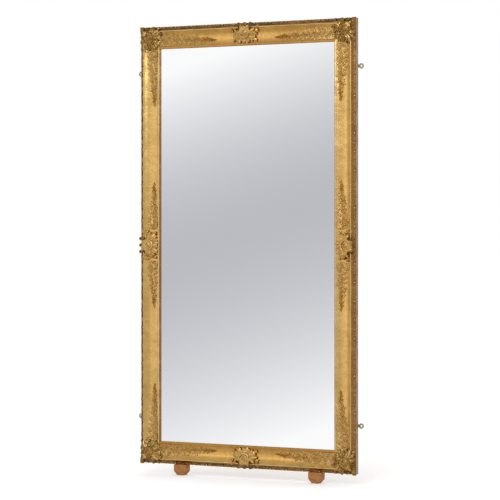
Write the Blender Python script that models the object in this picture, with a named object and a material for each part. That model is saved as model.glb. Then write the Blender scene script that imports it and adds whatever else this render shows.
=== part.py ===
"""Full-length gilt wall mirror standing on two foot blocks.

A mitred, moulded wooden frame holds a plate of mirror glass in a rebate, with fillets and
backboards behind it. Cast composition ornament is bedded on the moulding: corner and centre
cartouches, foliage sprays and a leaf band in the outer hollow. Four brass plates on the back
screw it to a wall.

Metres. +X is to the right seen from the front, -Y is the front, +Z is up, and the origin is
under the middle of the object, on the surface that its feet stand on.
"""

import math

import bmesh
import bpy
from mathutils import Matrix, Vector

# Driving dimensions of the frame.
FRAME_WIDTH = 0.985
FRAME_HEIGHT = 1.800
MEMBER_WIDTH = 0.092
FRAME_DEPTH = 0.034
FOOT_HEIGHT = 0.044

# Clearances between touching pieces.
GAP = 0.0003
MITRE_CLEARANCE = 0.0002

# How far the ornament stands in front of the ridge and past the outer edge.
ORNAMENT_PROUD = 0.010
ORNAMENT_OVERHANG = 0.005

# Moulding, seen in section: u runs inwards from the outer edge, d runs back from the ridge.
ARRIS = (0.0012, 0.0123)
SIDE_TOP = 0.0135
HOLLOW_SAGITTA = 0.0028
RIDGE_START = (0.0165, 0.0016)
RIDGE_SHOULDER = 0.0007
RIDGE_END = (0.0215, 0.0016)
COVE_START = (0.0220, 0.0026)
COVE_BOTTOM = (0.0520, 0.0126)
COVE_END = (0.0820, 0.0080)
SIGHT_LINE = [(0.0830, 0.0070), (0.0885, 0.0053), (0.0908, 0.0056), (0.0920, 0.0075)]
LIP_BACK = 0.0145
REBATE_WALL = 0.0820
CURVE_STEPS = 5

# Glass, fillets and backboards, all in the rebate.
GLASS_THICKNESS = 0.005
GLASS_CLEARANCE = 0.001
FILLET_WIDTH = 0.010
BOARD_THICKNESS = 0.009
BOARD_INSET = 0.0005
BOARD_COUNT = 6

# Keys let in across the back of each mitre.
KEY_LENGTH = 0.080
KEY_WIDTH = 0.018
KEY_THICKNESS = 0.008
KEY_INSET = 0.041

# How far a cutter runs past the face it opens, and the room it leaves round a screw.
CUT_PAST = 0.002
SCREW_ROOM = 0.0004
SCREW_SIDES = 10

# Brass wall plates and their screws.
PLATE_THICKNESS = 0.0020
PLATE_FROM_END = 0.190
PLATE_BODY = (0.002, 0.018)
PLATE_HALF_HEIGHT = 0.025
NECK_HALF_HEIGHT = 0.006
EYE_OUT = 0.013
EYE_RADIUS = 0.011
EYE_HOLE_RADIUS = 0.004
EYE_STEPS = 18
EYE_HOLE_SIDES = 16
SCREW_SPACING = 0.034
SCREW_HEAD_RADIUS = 0.0034
SCREW_SHANK_RADIUS = 0.0016
SCREW_LENGTH = 0.016

# Foot blocks and the screw up through each. Their backs stand on the wall's plane, like the
# backs of the wall plates, and the weight of the mirror falls over the middle of their depth.
FOOT_PLACES = (("left", -0.302), ("right", 0.315))
FOOT_WIDTH = 0.060
FOOT_DEPTH = 0.032
FOOT_CHAMFER = 0.017
COUNTERBORE_DEPTH = 0.014
COUNTERBORE_RADIUS = 0.0060
COUNTERBORE_SIDES = 12
FOOT_SCREW_HEAD_RADIUS = 0.0048
FOOT_SCREW_RADIUS = 0.0024
FOOT_SCREW_LENGTH = 0.048

# The bed of the castings over the outer hollow and the ridge, on the same u and d. It bridges
# the hollow, so the leaf band runs on beneath the cartouches.
SEAT_OUTER = [
    (-ORNAMENT_OVERHANG, 0.0110),
    (0.0, 0.0110),
    (0.0160, 0.0),
    (0.0220, 0.0),
    (0.0240, 0.0030),
]

# Cartouches: how far they run, the lines across the moulding that shape them, and their relief.
CORNER_REACH = 0.106
CORNER_SCALLOP = 0.007
CORNER_SCALLOP_WAVES = 150.0
CORNER_COLUMNS = 7
CORNER_CROWN = 0.0050
CORNER_RIB = 0.0015
CENTRE_HALF_LENGTH = {"top": 0.080, "bottom": 0.080, "left": 0.078, "right": 0.078}
CENTRE_WAIST = 0.16
CENTRE_WAIST_WAVES = 75.0
CENTRE_COLUMNS = 14
FLOWER_RELIEF = 0.0095
SCROLL_RELIEF = 0.0050
CARTOUCHE_BASE = 0.0020
CARTOUCHE_LINES = [
    -ORNAMENT_OVERHANG,
    0.0,
    0.016,
    0.022,
    0.024,
    0.034,
    0.046,
    0.058,
    0.070,
    0.081,
]

# Foliage sprays: where they start and end along a side, and their shape across the cove.
SPRAY_START = 0.118
RAIL_SPRAY_REACH = 0.368
STILE_SPRAY_REACH = 0.333
CENTRE_SPRAY_START = 0.090
CENTRE_SPRAY_REACH = 0.263
SPRAY_BASE = 0.0012
SPRAY_RELIEF = 0.0040
SPRAY_LEAF_PITCH = 0.045
SPRAY_LINES = [0.030, 0.034, 0.040, 0.046, 0.052, 0.058, 0.064, 0.070, 0.074]
SPRAY_AXIS = 0.053
SPRAY_HALF_WIDTH = 0.023
SPRAY_COLUMNS = 10

# Leaf bands in the outer hollow.
BAND_SPAN = (0.0022, 0.0100)
BAND_THICKNESS = 0.0016
BAND_END = 0.090

TOTAL_DEPTH = ORNAMENT_PROUD + FRAME_DEPTH + GAP + PLATE_THICKNESS
RIDGE_Y = ORNAMENT_PROUD - TOTAL_DEPTH / 2
BACK_Y = RIDGE_Y + FRAME_DEPTH
TOP_Z = FOOT_HEIGHT + FRAME_HEIGHT
MIDDLE_Z = FOOT_HEIGHT + FRAME_HEIGHT / 2
HALF_LENGTH = {
    "top": FRAME_WIDTH / 2,
    "bottom": FRAME_WIDTH / 2,
    "left": FRAME_HEIGHT / 2,
    "right": FRAME_HEIGHT / 2,
}
MEMBER_NAMES = {
    "top": "frame_top_rail",
    "bottom": "frame_bottom_rail",
    "left": "frame_left_stile",
    "right": "frame_right_stile",
}


def clear_scene():
    for item in list(bpy.data.objects):
        bpy.data.objects.remove(item, do_unlink=True)


def make_material(name, colour, roughness, metallic):
    material = bpy.data.materials.new(name)
    material.use_nodes = True
    shader = material.node_tree.nodes["Principled BSDF"]
    shader.inputs["Base Color"].default_value = (*colour, 1.0)
    shader.inputs["Roughness"].default_value = roughness
    shader.inputs["Metallic"].default_value = metallic
    return material


def make_materials():
    return {
        "gilt": make_material("gilt", (0.55, 0.36, 0.12), 0.38, 0.75),
        "gilt_ornament": make_material("gilt_ornament", (0.48, 0.31, 0.11), 0.42, 0.70),
        "bronze_band": make_material("bronze_band", (0.30, 0.18, 0.08), 0.45, 0.50),
        "pine": make_material("pine", (0.52, 0.36, 0.20), 0.75, 0.0),
        "foot_wood": make_material("foot_wood", (0.43, 0.19, 0.08), 0.55, 0.0),
        "mirror": make_material("mirror", (0.90, 0.91, 0.92), 0.03, 1.0),
        "brass": make_material("brass", (0.42, 0.36, 0.22), 0.40, 1.0),
        "steel": make_material("steel", (0.35, 0.34, 0.32), 0.45, 1.0),
    }


def point_at(side, along, inwards, depth):
    """A point on a side: along it from its middle, in from its outer edge, back from its ridge."""
    y = RIDGE_Y + depth
    if side == "top":
        return Vector((along, y, TOP_Z - inwards))
    if side == "bottom":
        return Vector((along, y, FOOT_HEIGHT + inwards))
    if side == "left":
        return Vector((inwards - FRAME_WIDTH / 2, y, MIDDLE_Z + along))
    return Vector((FRAME_WIDTH / 2 - inwards, y, MIDDLE_Z + along))


def finish_object(name, mesh_data, material, smooth_angle=None):
    """Makes one object from a bmesh whose faces are turned to point outwards."""
    bmesh.ops.recalc_face_normals(mesh_data, faces=mesh_data.faces)
    mesh = bpy.data.meshes.new(name)
    mesh_data.to_mesh(mesh)
    mesh_data.free()
    mesh.materials.append(material)
    if smooth_angle is not None:
        mesh.shade_smooth()
        mesh.set_sharp_from_angle(angle=math.radians(smooth_angle))
    made = bpy.data.objects.new(name, mesh)
    bpy.context.collection.objects.link(made)
    return made


def make_cutter(name, mesh_data):
    bmesh.ops.recalc_face_normals(mesh_data, faces=mesh_data.faces)
    mesh = bpy.data.meshes.new(name)
    mesh_data.to_mesh(mesh)
    mesh_data.free()
    cutter = bpy.data.objects.new(name, mesh)
    cutter.hide_render = True
    cutter.display_type = "WIRE"
    bpy.context.collection.objects.link(cutter)
    return cutter


def cut(target, cutter):
    modifier = target.modifiers.new(cutter.name, "BOOLEAN")
    modifier.operation = "DIFFERENCE"
    modifier.solver = "EXACT"
    modifier.object = cutter


def box_mesh(low, high):
    mesh_data = bmesh.new()
    size = Vector(high) - Vector(low)
    middle = (Vector(high) + Vector(low)) / 2
    place = Matrix.Translation(middle) @ Matrix.Diagonal((*size, 1.0))
    bmesh.ops.create_cube(mesh_data, size=1.0, matrix=place)
    return mesh_data


def prism_mesh(outline, offset):
    """A straight prism: the outline's points, and the same points moved by offset."""
    mesh_data = bmesh.new()
    near = [mesh_data.verts.new(point) for point in outline]
    far = [mesh_data.verts.new(Vector(point) + Vector(offset)) for point in outline]
    mesh_data.faces.new(near)
    mesh_data.faces.new(far)
    for i in range(len(outline)):
        following = (i + 1) % len(outline)
        mesh_data.faces.new((near[i], near[following], far[following], far[i]))
    return mesh_data


def turned_mesh(profile, base, direction, sides):
    """A closed turned shape: (radius, distance) pairs from one end to the other."""
    mesh_data = bmesh.new()
    turn = direction.to_track_quat("Z", "Y").to_matrix()
    rings = []
    for radius, distance in profile:
        ring = []
        for i in range(sides):
            angle = 2 * math.pi * i / sides
            local = Vector((radius * math.cos(angle), radius * math.sin(angle), distance))
            ring.append(mesh_data.verts.new(base + turn @ local))
        rings.append(ring)
    for lower, upper in zip(rings, rings[1:]):
        for i in range(sides):
            following = (i + 1) % sides
            mesh_data.faces.new((lower[i], lower[following], upper[following], upper[i]))
    mesh_data.faces.new(rings[0])
    mesh_data.faces.new(rings[-1])
    return mesh_data


def shallow_arc(start, end, sagitta, steps):
    """Points of a circular arc after start, up to end, bowed back into the wood by sagitta."""
    first = Vector(start)
    last = Vector(end)
    chord = last - first
    inward = Vector((-chord.y, chord.x)).normalized()
    if inward.y < 0:
        inward = -inward
    radius = (chord.length**2 / 4 + sagitta**2) / (2 * sagitta)
    centre = (first + last) / 2 + inward * (sagitta - radius)
    half_angle = math.asin(chord.length / (2 * radius))
    points = []
    for i in range(1, steps + 1):
        angle = half_angle * (2 * i / steps - 1)
        reach = chord.normalized() * math.sin(angle) + inward * math.cos(angle)
        points.append(tuple(centre + reach * radius))
    return points


def cove_depth(inwards):
    """Depth of the cove: one arc down from the ridge and a flatter one up to the sight edge."""
    if inwards < COVE_BOTTOM[0]:
        run = COVE_BOTTOM[0] - COVE_START[0]
        rise = COVE_BOTTOM[1] - COVE_START[1]
    else:
        run = COVE_END[0] - COVE_BOTTOM[0]
        rise = COVE_BOTTOM[1] - COVE_END[1]
    radius = (run**2 + rise**2) / (2 * rise)
    offset = inwards - COVE_BOTTOM[0]
    return COVE_BOTTOM[1] - radius + math.sqrt(radius**2 - offset**2)


def cove_points():
    points = []
    for i in range(2 * CURVE_STEPS + 1):
        inwards = COVE_START[0] + (COVE_END[0] - COVE_START[0]) * i / (2 * CURVE_STEPS)
        points.append((inwards, cove_depth(inwards)))
    return points


def hollow_points():
    return [ARRIS] + shallow_arc(ARRIS, RIDGE_START, HOLLOW_SAGITTA, CURVE_STEPS - 1)


def moulding_outline():
    """The frame's whole section, from the back of the outer side round to the rebate."""
    ridge_middle = (RIDGE_START[0] + RIDGE_END[0]) / 2
    shoulder_depth = RIDGE_START[1] / 3
    outline = [(0.0, FRAME_DEPTH), (0.0, SIDE_TOP)]
    outline += hollow_points()
    outline.append((RIDGE_START[0] + RIDGE_SHOULDER, shoulder_depth))
    outline.append((ridge_middle, 0.0))
    outline.append((RIDGE_END[0] - RIDGE_SHOULDER, shoulder_depth))
    outline.append(RIDGE_END)
    outline += cove_points()
    outline += SIGHT_LINE
    outline.append((MEMBER_WIDTH, LIP_BACK))
    outline.append((REBATE_WALL, LIP_BACK))
    outline.append((REBATE_WALL, FRAME_DEPTH))
    return outline


def make_member(side, materials):
    """One rail or stile, mitred at both ends."""
    mesh_data = bmesh.new()
    ends = []
    for sign in (-1, 1):
        end = []
        for inwards, depth in moulding_outline():
            along = sign * (HALF_LENGTH[side] - inwards - MITRE_CLEARANCE)
            end.append(mesh_data.verts.new(point_at(side, along, inwards, depth)))
        ends.append(end)
        mesh_data.faces.new(end)
    count = len(ends[0])
    for i in range(count):
        following = (i + 1) % count
        mesh_data.faces.new((ends[0][i], ends[0][following], ends[1][following], ends[1][i]))
    return finish_object(MEMBER_NAMES[side], mesh_data, materials["gilt"])


def key_mesh(across, up, grow):
    """A straight key square across a mitre, on the frame's back; grow makes its pocket."""
    mesh_data = bmesh.new()
    corner = Vector((across * FRAME_WIDTH / 2, 0.0, MIDDLE_Z + up * FRAME_HEIGHT / 2))
    middle = corner - Vector((across * KEY_INSET, 0.0, up * KEY_INSET))
    back = BACK_Y + (CUT_PAST if grow else 0.0)
    front = BACK_Y - KEY_THICKNESS - (GAP if grow else 0.0)
    middle.y = (back + front) / 2
    margin = 2 * GAP if grow else 0.0
    size = Vector((KEY_LENGTH + margin, back - front, KEY_WIDTH + margin))
    turn = Matrix.Rotation(across * up * math.pi / 4, 4, "Y")
    place = Matrix.Translation(middle) @ turn @ Matrix.Diagonal((*size, 1.0))
    bmesh.ops.create_cube(mesh_data, size=1.0, matrix=place)
    return mesh_data


def make_mitre_keys(members, materials):
    for up, upright in ((1, "top"), (-1, "bottom")):
        for across, level in ((-1, "left"), (1, "right")):
            name = f"mitre_key_{upright}_{level}"
            finish_object(name, key_mesh(across, up, False), materials["pine"])
    for up, side in ((1, "top"), (-1, "bottom")):
        pockets = joined([key_mesh(-1, up, True), key_mesh(1, up, True)])
        cut(members[side], make_cutter(f"pockets_{side}", pockets))
    for across, side in ((-1, "left"), (1, "right")):
        pockets = joined([key_mesh(across, -1, True), key_mesh(across, 1, True)])
        cut(members[side], make_cutter(f"pockets_{side}", pockets))


def make_glass(materials):
    half_width = FRAME_WIDTH / 2 - REBATE_WALL - GLASS_CLEARANCE
    half_height = FRAME_HEIGHT / 2 - REBATE_WALL - GLASS_CLEARANCE
    front = RIDGE_Y + LIP_BACK + GAP
    low = (-half_width, front, MIDDLE_Z - half_height)
    high = (half_width, front + GLASS_THICKNESS, MIDDLE_Z + half_height)
    finish_object("mirror_glass", box_mesh(low, high), materials["mirror"])


def make_fillets(materials):
    """Four softwood strips that hold the glass against the lip, between it and the boards."""
    front = RIDGE_Y + LIP_BACK + GLASS_THICKNESS + 2 * GAP
    back = BACK_Y - BOARD_INSET - BOARD_THICKNESS - GAP
    outer_x = FRAME_WIDTH / 2 - REBATE_WALL - GLASS_CLEARANCE
    outer_z = FRAME_HEIGHT / 2 - REBATE_WALL - GLASS_CLEARANCE
    inner_z = outer_z - FILLET_WIDTH
    for sign, word in ((1, "top"), (-1, "bottom")):
        edges = sorted((MIDDLE_Z + sign * outer_z, MIDDLE_Z + sign * inner_z))
        strip = box_mesh((-outer_x, front, edges[0]), (outer_x, back, edges[1]))
        finish_object(f"glass_fillet_{word}", strip, materials["pine"])
    reach = inner_z - GAP
    for sign, word in ((-1, "left"), (1, "right")):
        edges = sorted((sign * outer_x, sign * (outer_x - FILLET_WIDTH)))
        low = (edges[0], front, MIDDLE_Z - reach)
        high = (edges[1], back, MIDDLE_Z + reach)
        finish_object(f"glass_fillet_{word}", box_mesh(low, high), materials["pine"])


def make_backboards(materials):
    """Level boards, one above another, filling the back of the rebate."""
    half_width = FRAME_WIDTH / 2 - REBATE_WALL - GLASS_CLEARANCE
    half_height = FRAME_HEIGHT / 2 - REBATE_WALL - GLASS_CLEARANCE
    pitch = 2 * half_height / BOARD_COUNT
    back = BACK_Y - BOARD_INSET
    for i in range(BOARD_COUNT):
        top = MIDDLE_Z + half_height - i * pitch - GAP
        low = (-half_width, back - BOARD_THICKNESS, top - pitch + 2 * GAP)
        high = (half_width, back, top)
        finish_object(f"backboard_{i + 1}", box_mesh(low, high), materials["pine"])


def plate_outline(across, height):
    """A plate seen from the back: a tall body, a short neck and a round eye past the frame's edge."""
    edge = across * FRAME_WIDTH / 2
    outline = [
        (PLATE_BODY[0], PLATE_HALF_HEIGHT),
        (PLATE_BODY[1], PLATE_HALF_HEIGHT),
        (PLATE_BODY[1], -PLATE_HALF_HEIGHT),
        (PLATE_BODY[0], -PLATE_HALF_HEIGHT),
        (PLATE_BODY[0], -NECK_HALF_HEIGHT),
    ]
    opening = math.asin(NECK_HALF_HEIGHT / EYE_RADIUS)
    for i in range(EYE_STEPS + 1):
        angle = -opening - (2 * math.pi - 2 * opening) * i / EYE_STEPS
        outline.append((-EYE_OUT + EYE_RADIUS * math.cos(angle), EYE_RADIUS * math.sin(angle)))
    outline.append((PLATE_BODY[0], NECK_HALF_HEIGHT))
    front = BACK_Y + GAP
    return [(edge - across * inwards, front, height + rise) for inwards, rise in outline]


def make_screw(name, base, direction, head_radius, shank_radius, length, materials):
    """A countersunk wood screw: base is the middle of its head, direction is the way it drives."""
    head_depth = head_radius - shank_radius
    profile = [
        (head_radius, 0.0),
        (shank_radius, head_depth),
        (shank_radius, length * 0.8),
        (shank_radius * 0.2, length),
    ]
    screw = turned_mesh(profile, base, direction, SCREW_SIDES)
    finish_object(name, screw, materials["steel"], 40)


def screw_hole_mesh(base, direction, head_radius, shank_radius, length):
    """The shape of a countersunk hole with a little room round its screw."""
    depth = head_radius - shank_radius + SCREW_ROOM
    outside = CUT_PAST / 2
    profile = [
        (head_radius + outside, -outside),
        (shank_radius + SCREW_ROOM, depth),
        (shank_radius + SCREW_ROOM, length + SCREW_ROOM),
    ]
    return turned_mesh(profile, base, direction, SCREW_SIDES)


def joined(parts):
    """Several shapes as one, so that one Boolean cuts them all."""
    whole = bmesh.new()
    for part in parts:
        piece = bpy.data.meshes.new("piece")
        part.to_mesh(piece)
        part.free()
        whole.from_mesh(piece)
        bpy.data.meshes.remove(piece)
    return whole


def make_wall_plates(members, materials):
    """Four plates on the backs of the stiles, each with two screws and an eye for a third."""
    forward = Vector((0.0, -1.0, 0.0))
    screw_u = (PLATE_BODY[0] + PLATE_BODY[1]) / 2
    sizes = (SCREW_HEAD_RADIUS, SCREW_SHANK_RADIUS, SCREW_LENGTH)
    for across, level in ((-1, "left"), (1, "right")):
        stile_holes = []
        for up, upright in ((1, "upper"), (-1, "lower")):
            height = MIDDLE_Z + up * (FRAME_HEIGHT / 2 - PLATE_FROM_END)
            body = prism_mesh(plate_outline(across, height), (0.0, PLATE_THICKNESS, 0.0))
            plate = finish_object(f"wall_plate_{level}_{upright}", body, materials["brass"])
            eye = Vector((across * (FRAME_WIDTH / 2 + EYE_OUT), BACK_Y - CUT_PAST, height))
            drill_end = PLATE_THICKNESS + 2 * CUT_PAST
            drill = [(EYE_HOLE_RADIUS, 0.0), (EYE_HOLE_RADIUS, drill_end)]
            plate_holes = [turned_mesh(drill, eye, -forward, EYE_HOLE_SIDES)]
            for number, offset in ((1, 0.5), (2, -0.5)):
                base = Vector((
                    across * (FRAME_WIDTH / 2 - screw_u),
                    BACK_Y + GAP + PLATE_THICKNESS,
                    height + offset * SCREW_SPACING,
                ))
                plate_holes.append(screw_hole_mesh(base, forward, *sizes))
                stile_holes.append(screw_hole_mesh(base, forward, *sizes))
                screw_name = f"plate_screw_{level}_{upright}_{number}"
                make_screw(screw_name, base, forward, *sizes, materials)
            cut(plate, make_cutter(f"plate_drill_{level}_{upright}", joined(plate_holes)))
        cut(members[level], make_cutter(f"stile_drill_{level}", joined(stile_holes)))


def foot_outline(middle_x, front):
    """A block with its two lower corners cut off, seen from the front."""
    half = FOOT_WIDTH / 2
    top = FOOT_HEIGHT - GAP
    points = [
        (-half, top),
        (-half, FOOT_CHAMFER),
        (FOOT_CHAMFER - half, 0.0),
        (half - FOOT_CHAMFER, 0.0),
        (half, FOOT_CHAMFER),
        (half, top),
    ]
    return [(middle_x + x, front, z) for x, z in points]


def make_feet(members, materials):
    """Two blocks under the bottom rail, each with one screw up through a counterbore."""
    upwards = Vector((0.0, 0.0, 1.0))
    front = BACK_Y + GAP + PLATE_THICKNESS - FOOT_DEPTH
    middle_y = front + FOOT_DEPTH / 2
    sizes = (FOOT_SCREW_HEAD_RADIUS, FOOT_SCREW_RADIUS, FOOT_SCREW_LENGTH)
    rail_holes = []
    for level, middle_x in FOOT_PLACES:
        block = prism_mesh(foot_outline(middle_x, front), (0.0, FOOT_DEPTH, 0.0))
        foot = finish_object(f"foot_{level}", block, materials["foot_wood"])
        drill_end = COUNTERBORE_DEPTH + CUT_PAST
        drill = [(COUNTERBORE_RADIUS, 0.0), (COUNTERBORE_RADIUS, drill_end)]
        below = Vector((middle_x, middle_y, -CUT_PAST))
        counterbore = turned_mesh(drill, below, upwards, COUNTERBORE_SIDES)
        cut(foot, make_cutter(f"counterbore_{level}", counterbore))
        base = Vector((middle_x, middle_y, COUNTERBORE_DEPTH))
        cut(foot, make_cutter(f"foot_drill_{level}", screw_hole_mesh(base, upwards, *sizes)))
        rail_holes.append(screw_hole_mesh(base, upwards, *sizes))
        make_screw(f"foot_screw_{level}", base, upwards, *sizes, materials)
    cut(members["bottom"], make_cutter("rail_drill", joined(rail_holes)))


def seat_depth(inwards):
    """The surface that the castings are bedded on; it bridges the outer hollow."""
    if inwards >= SEAT_OUTER[-1][0]:
        return cove_depth(inwards) - GAP
    for (u0, d0), (u1, d1) in zip(SEAT_OUTER, SEAT_OUTER[1:]):
        if inwards <= u1:
            share = (inwards - u0) / (u1 - u0)
            return d0 + (d1 - d0) * share - GAP
    return 0.0


def relief_patch(mesh_data, side, lines, start, end, thickness, columns, corner=0):
    """Adds one casting, or half a corner one, as a plate of varying thickness on the seat.

    lines are distances in from the outer edge. On each of them the patch runs from start(line)
    to end(line), measured from the middle of the side, or from the corner where corner is +1 or
    -1. thickness takes the line and the share of the way along it, from 0 to 1.
    """
    seats = []
    tops = []
    for line in lines:
        seat_row = []
        top_row = []
        for column in range(columns + 1):
            share = column / columns
            along = start(line) + (end(line) - start(line)) * share
            if corner:
                along = corner * (HALF_LENGTH[side] - along)
            depth = seat_depth(line)
            seat_row.append(mesh_data.verts.new(point_at(side, along, line, depth)))
            raised = depth - thickness(line, share)
            top_row.append(mesh_data.verts.new(point_at(side, along, line, raised)))
        seats.append(seat_row)
        tops.append(top_row)
    for i in range(len(lines) - 1):
        for j in range(columns):
            for rows in (seats, tops):
                mesh_data.faces.new((rows[i][j], rows[i][j + 1], rows[i + 1][j + 1], rows[i + 1][j]))
    for j in range(columns):
        for i in (0, len(lines) - 1):
            mesh_data.faces.new((seats[i][j], seats[i][j + 1], tops[i][j + 1], tops[i][j]))
    open_columns = (columns,) if corner else (0, columns)
    for i in range(len(lines) - 1):
        for j in open_columns:
            mesh_data.faces.new((seats[i][j], seats[i + 1][j], tops[i + 1][j], tops[i][j]))


def close_and_finish(name, mesh_data, material):
    bmesh.ops.remove_doubles(mesh_data, verts=mesh_data.verts, dist=1e-5)
    bmesh.ops.triangulate(mesh_data, faces=mesh_data.faces)
    finish_object(name, mesh_data, material, 35)


def edge_rounding(share):
    """Falls to nothing at both ends of its run, and is full over the middle."""
    return min(1.0, 4.0 * share * (1.0 - share))


def share_across(line, lines):
    return (line - lines[0]) / (lines[-1] - lines[0])


def corner_thickness(line, share):
    """A boss over the mitre, ribbed like a shell, thinning to its scalloped rim."""
    rounding = edge_rounding(share_across(line, CARTOUCHE_LINES))
    rib = 0.5 + 0.5 * math.cos(share * 3.0 * math.pi)
    crown = rounding * (1.0 - share**2)
    thickness = CARTOUCHE_BASE + CORNER_CROWN * crown + CORNER_RIB * rib * rounding
    return min(thickness, ORNAMENT_PROUD + seat_depth(line))


def make_corner_cartouches(materials):
    """One casting over each mitre: two mirrored patches that share the mitre line."""

    def rim(line):
        return CORNER_REACH + CORNER_SCALLOP * math.cos(line * CORNER_SCALLOP_WAVES)

    for upright in ("top", "bottom"):
        for level, across in (("left", -1), ("right", 1)):
            mesh_data = bmesh.new()
            up = 1 if upright == "top" else -1
            for side, corner in ((upright, across), (level, up)):
                relief_patch(
                    mesh_data,
                    side,
                    CARTOUCHE_LINES,
                    lambda line: line,
                    rim,
                    corner_thickness,
                    CORNER_COLUMNS,
                    corner,
                )
            name = f"corner_cartouche_{upright}_{level}"
            close_and_finish(name, mesh_data, materials["gilt_ornament"])


def centre_thickness(line, share):
    """A raised middle flower between two lower scrolls."""
    offset = 2.0 * share - 1.0
    flower = FLOWER_RELIEF * math.exp(-((offset / 0.30) ** 2))
    scrolls = SCROLL_RELIEF * math.exp(-(((abs(offset) - 0.62) / 0.20) ** 2))
    rounding = edge_rounding(share_across(line, CARTOUCHE_LINES))
    thickness = CARTOUCHE_BASE + rounding * (flower + scrolls)
    return min(thickness, ORNAMENT_PROUD + seat_depth(line))


def make_centre_cartouches(materials):
    """One casting in the middle of each side, narrower towards the sight edge."""
    for side, half_length in CENTRE_HALF_LENGTH.items():
        mesh_data = bmesh.new()

        def reach(line, half_length=half_length):
            waist = CENTRE_WAIST * (1.0 - math.cos(line * CENTRE_WAIST_WAVES))
            return half_length * (1.0 - waist)

        relief_patch(
            mesh_data,
            side,
            CARTOUCHE_LINES,
            lambda line: -reach(line),
            reach,
            centre_thickness,
            CENTRE_COLUMNS,
        )
        close_and_finish(f"centre_cartouche_{side}", mesh_data, materials["gilt_ornament"])


def make_spray(name, side, direction, root, tip, materials):
    """A tapering run of leaves on the cove, from root to tip along the side."""
    length = tip - root

    def start(line):
        off_axis = abs(line - SPRAY_AXIS) / SPRAY_HALF_WIDTH
        return direction * (root + length * 0.06 * off_axis)

    def end(line):
        off_axis = abs(line - SPRAY_AXIS) / SPRAY_HALF_WIDTH
        return direction * (tip - length * 0.55 * off_axis)

    def thickness(line, share):
        along = share * abs(end(line) - start(line))
        leaf = 0.5 + 0.5 * math.cos(2 * math.pi * along / SPRAY_LEAF_PITCH)
        rounding = edge_rounding(share_across(line, SPRAY_LINES)) * edge_rounding(share)
        return SPRAY_BASE + SPRAY_RELIEF * leaf * rounding

    mesh_data = bmesh.new()
    relief_patch(mesh_data, side, SPRAY_LINES, start, end, thickness, SPRAY_COLUMNS)
    close_and_finish(name, mesh_data, materials["gilt_ornament"])


def make_sprays(materials):
    for side, words in (("top", ("left", "right")), ("bottom", ("left", "right"))):
        for direction, word in zip((-1, 1), words):
            root = HALF_LENGTH[side] - SPRAY_START
            tip = HALF_LENGTH[side] - RAIL_SPRAY_REACH
            make_spray(f"corner_spray_{side}_rail_{word}", side, direction, root, tip, materials)
    for side in ("left", "right"):
        for direction, word in ((1, "upper"), (-1, "lower")):
            root = HALF_LENGTH[side] - SPRAY_START
            tip = HALF_LENGTH[side] - STILE_SPRAY_REACH
            make_spray(f"corner_spray_{side}_stile_{word}", side, direction, root, tip, materials)
            root = CENTRE_SPRAY_START
            tip = CENTRE_SPRAY_REACH
            make_spray(f"centre_spray_{side}_{word}", side, direction, root, tip, materials)


def hollow_depth(inwards):
    points = hollow_points()
    for (u0, d0), (u1, d1) in zip(points, points[1:]):
        if inwards <= u1:
            return d0 + (d1 - d0) * (inwards - u0) / (u1 - u0)
    return points[-1][1]


def make_leaf_band(side, materials):
    """A thin strip lying in the outer hollow, from one corner cartouche to the other."""
    inner = [point for point in hollow_points() if BAND_SPAN[0] < point[0] < BAND_SPAN[1]]
    spots = [(BAND_SPAN[0], hollow_depth(BAND_SPAN[0]))]
    spots += inner
    spots.append((BAND_SPAN[1], hollow_depth(BAND_SPAN[1])))
    section = [(u, d - GAP * 1.5) for u, d in spots]
    section += [(u, d - BAND_THICKNESS) for u, d in reversed(spots)]
    along = HALF_LENGTH[side] - BAND_END
    outline = [point_at(side, -along, inwards, depth) for inwards, depth in section]
    offset = point_at(side, along, 0.0, 0.0) - point_at(side, -along, 0.0, 0.0)
    finish_object(f"leaf_band_{side}", prism_mesh(outline, offset), materials["bronze_band"])


def build():
    clear_scene()
    materials = make_materials()
    members = {side: make_member(side, materials) for side in MEMBER_NAMES}
    make_mitre_keys(members, materials)
    make_glass(materials)
    make_fillets(materials)
    make_backboards(materials)
    make_wall_plates(members, materials)
    make_feet(members, materials)
    make_corner_cartouches(materials)
    make_centre_cartouches(materials)
    make_sprays(materials)
    for side in MEMBER_NAMES:
        make_leaf_band(side, materials)


build()
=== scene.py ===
"""Looks of a full-length gilt wall mirror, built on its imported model. Metres, +Z up, -Y front."""

import math

import bpy
import numpy as np
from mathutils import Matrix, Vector


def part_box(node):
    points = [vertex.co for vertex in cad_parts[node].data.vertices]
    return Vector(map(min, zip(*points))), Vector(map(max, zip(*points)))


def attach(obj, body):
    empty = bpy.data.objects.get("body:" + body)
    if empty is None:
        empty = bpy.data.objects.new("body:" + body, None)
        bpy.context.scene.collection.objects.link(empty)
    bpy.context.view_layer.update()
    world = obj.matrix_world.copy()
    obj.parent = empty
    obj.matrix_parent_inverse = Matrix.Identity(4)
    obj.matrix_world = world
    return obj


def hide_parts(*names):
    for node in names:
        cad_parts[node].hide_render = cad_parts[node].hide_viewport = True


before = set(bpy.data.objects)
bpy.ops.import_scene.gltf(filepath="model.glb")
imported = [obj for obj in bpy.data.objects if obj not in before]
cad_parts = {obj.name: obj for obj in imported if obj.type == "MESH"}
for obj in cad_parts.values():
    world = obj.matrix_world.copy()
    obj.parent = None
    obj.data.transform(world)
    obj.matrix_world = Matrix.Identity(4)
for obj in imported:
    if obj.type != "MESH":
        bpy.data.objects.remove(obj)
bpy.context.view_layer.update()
scene = bpy.context.scene


# ---------------------------------------------------------------- Studio
# A plain white sweep with one large softbox high at the front right, and a pale grey hollow in
# the room in front of the mirror, which the glass shows as a slanting soft shade.

CAMERA_PLACE = (4.233, -7.863, 1.0186)
CAMERA_TURN = math.radians(28.187)
CAMERA_LENS = 159.1
CAMERA_DROP = -0.0459
SENSOR_WIDTH = 36.0
SIGHT_LIMIT = 200.0

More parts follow.
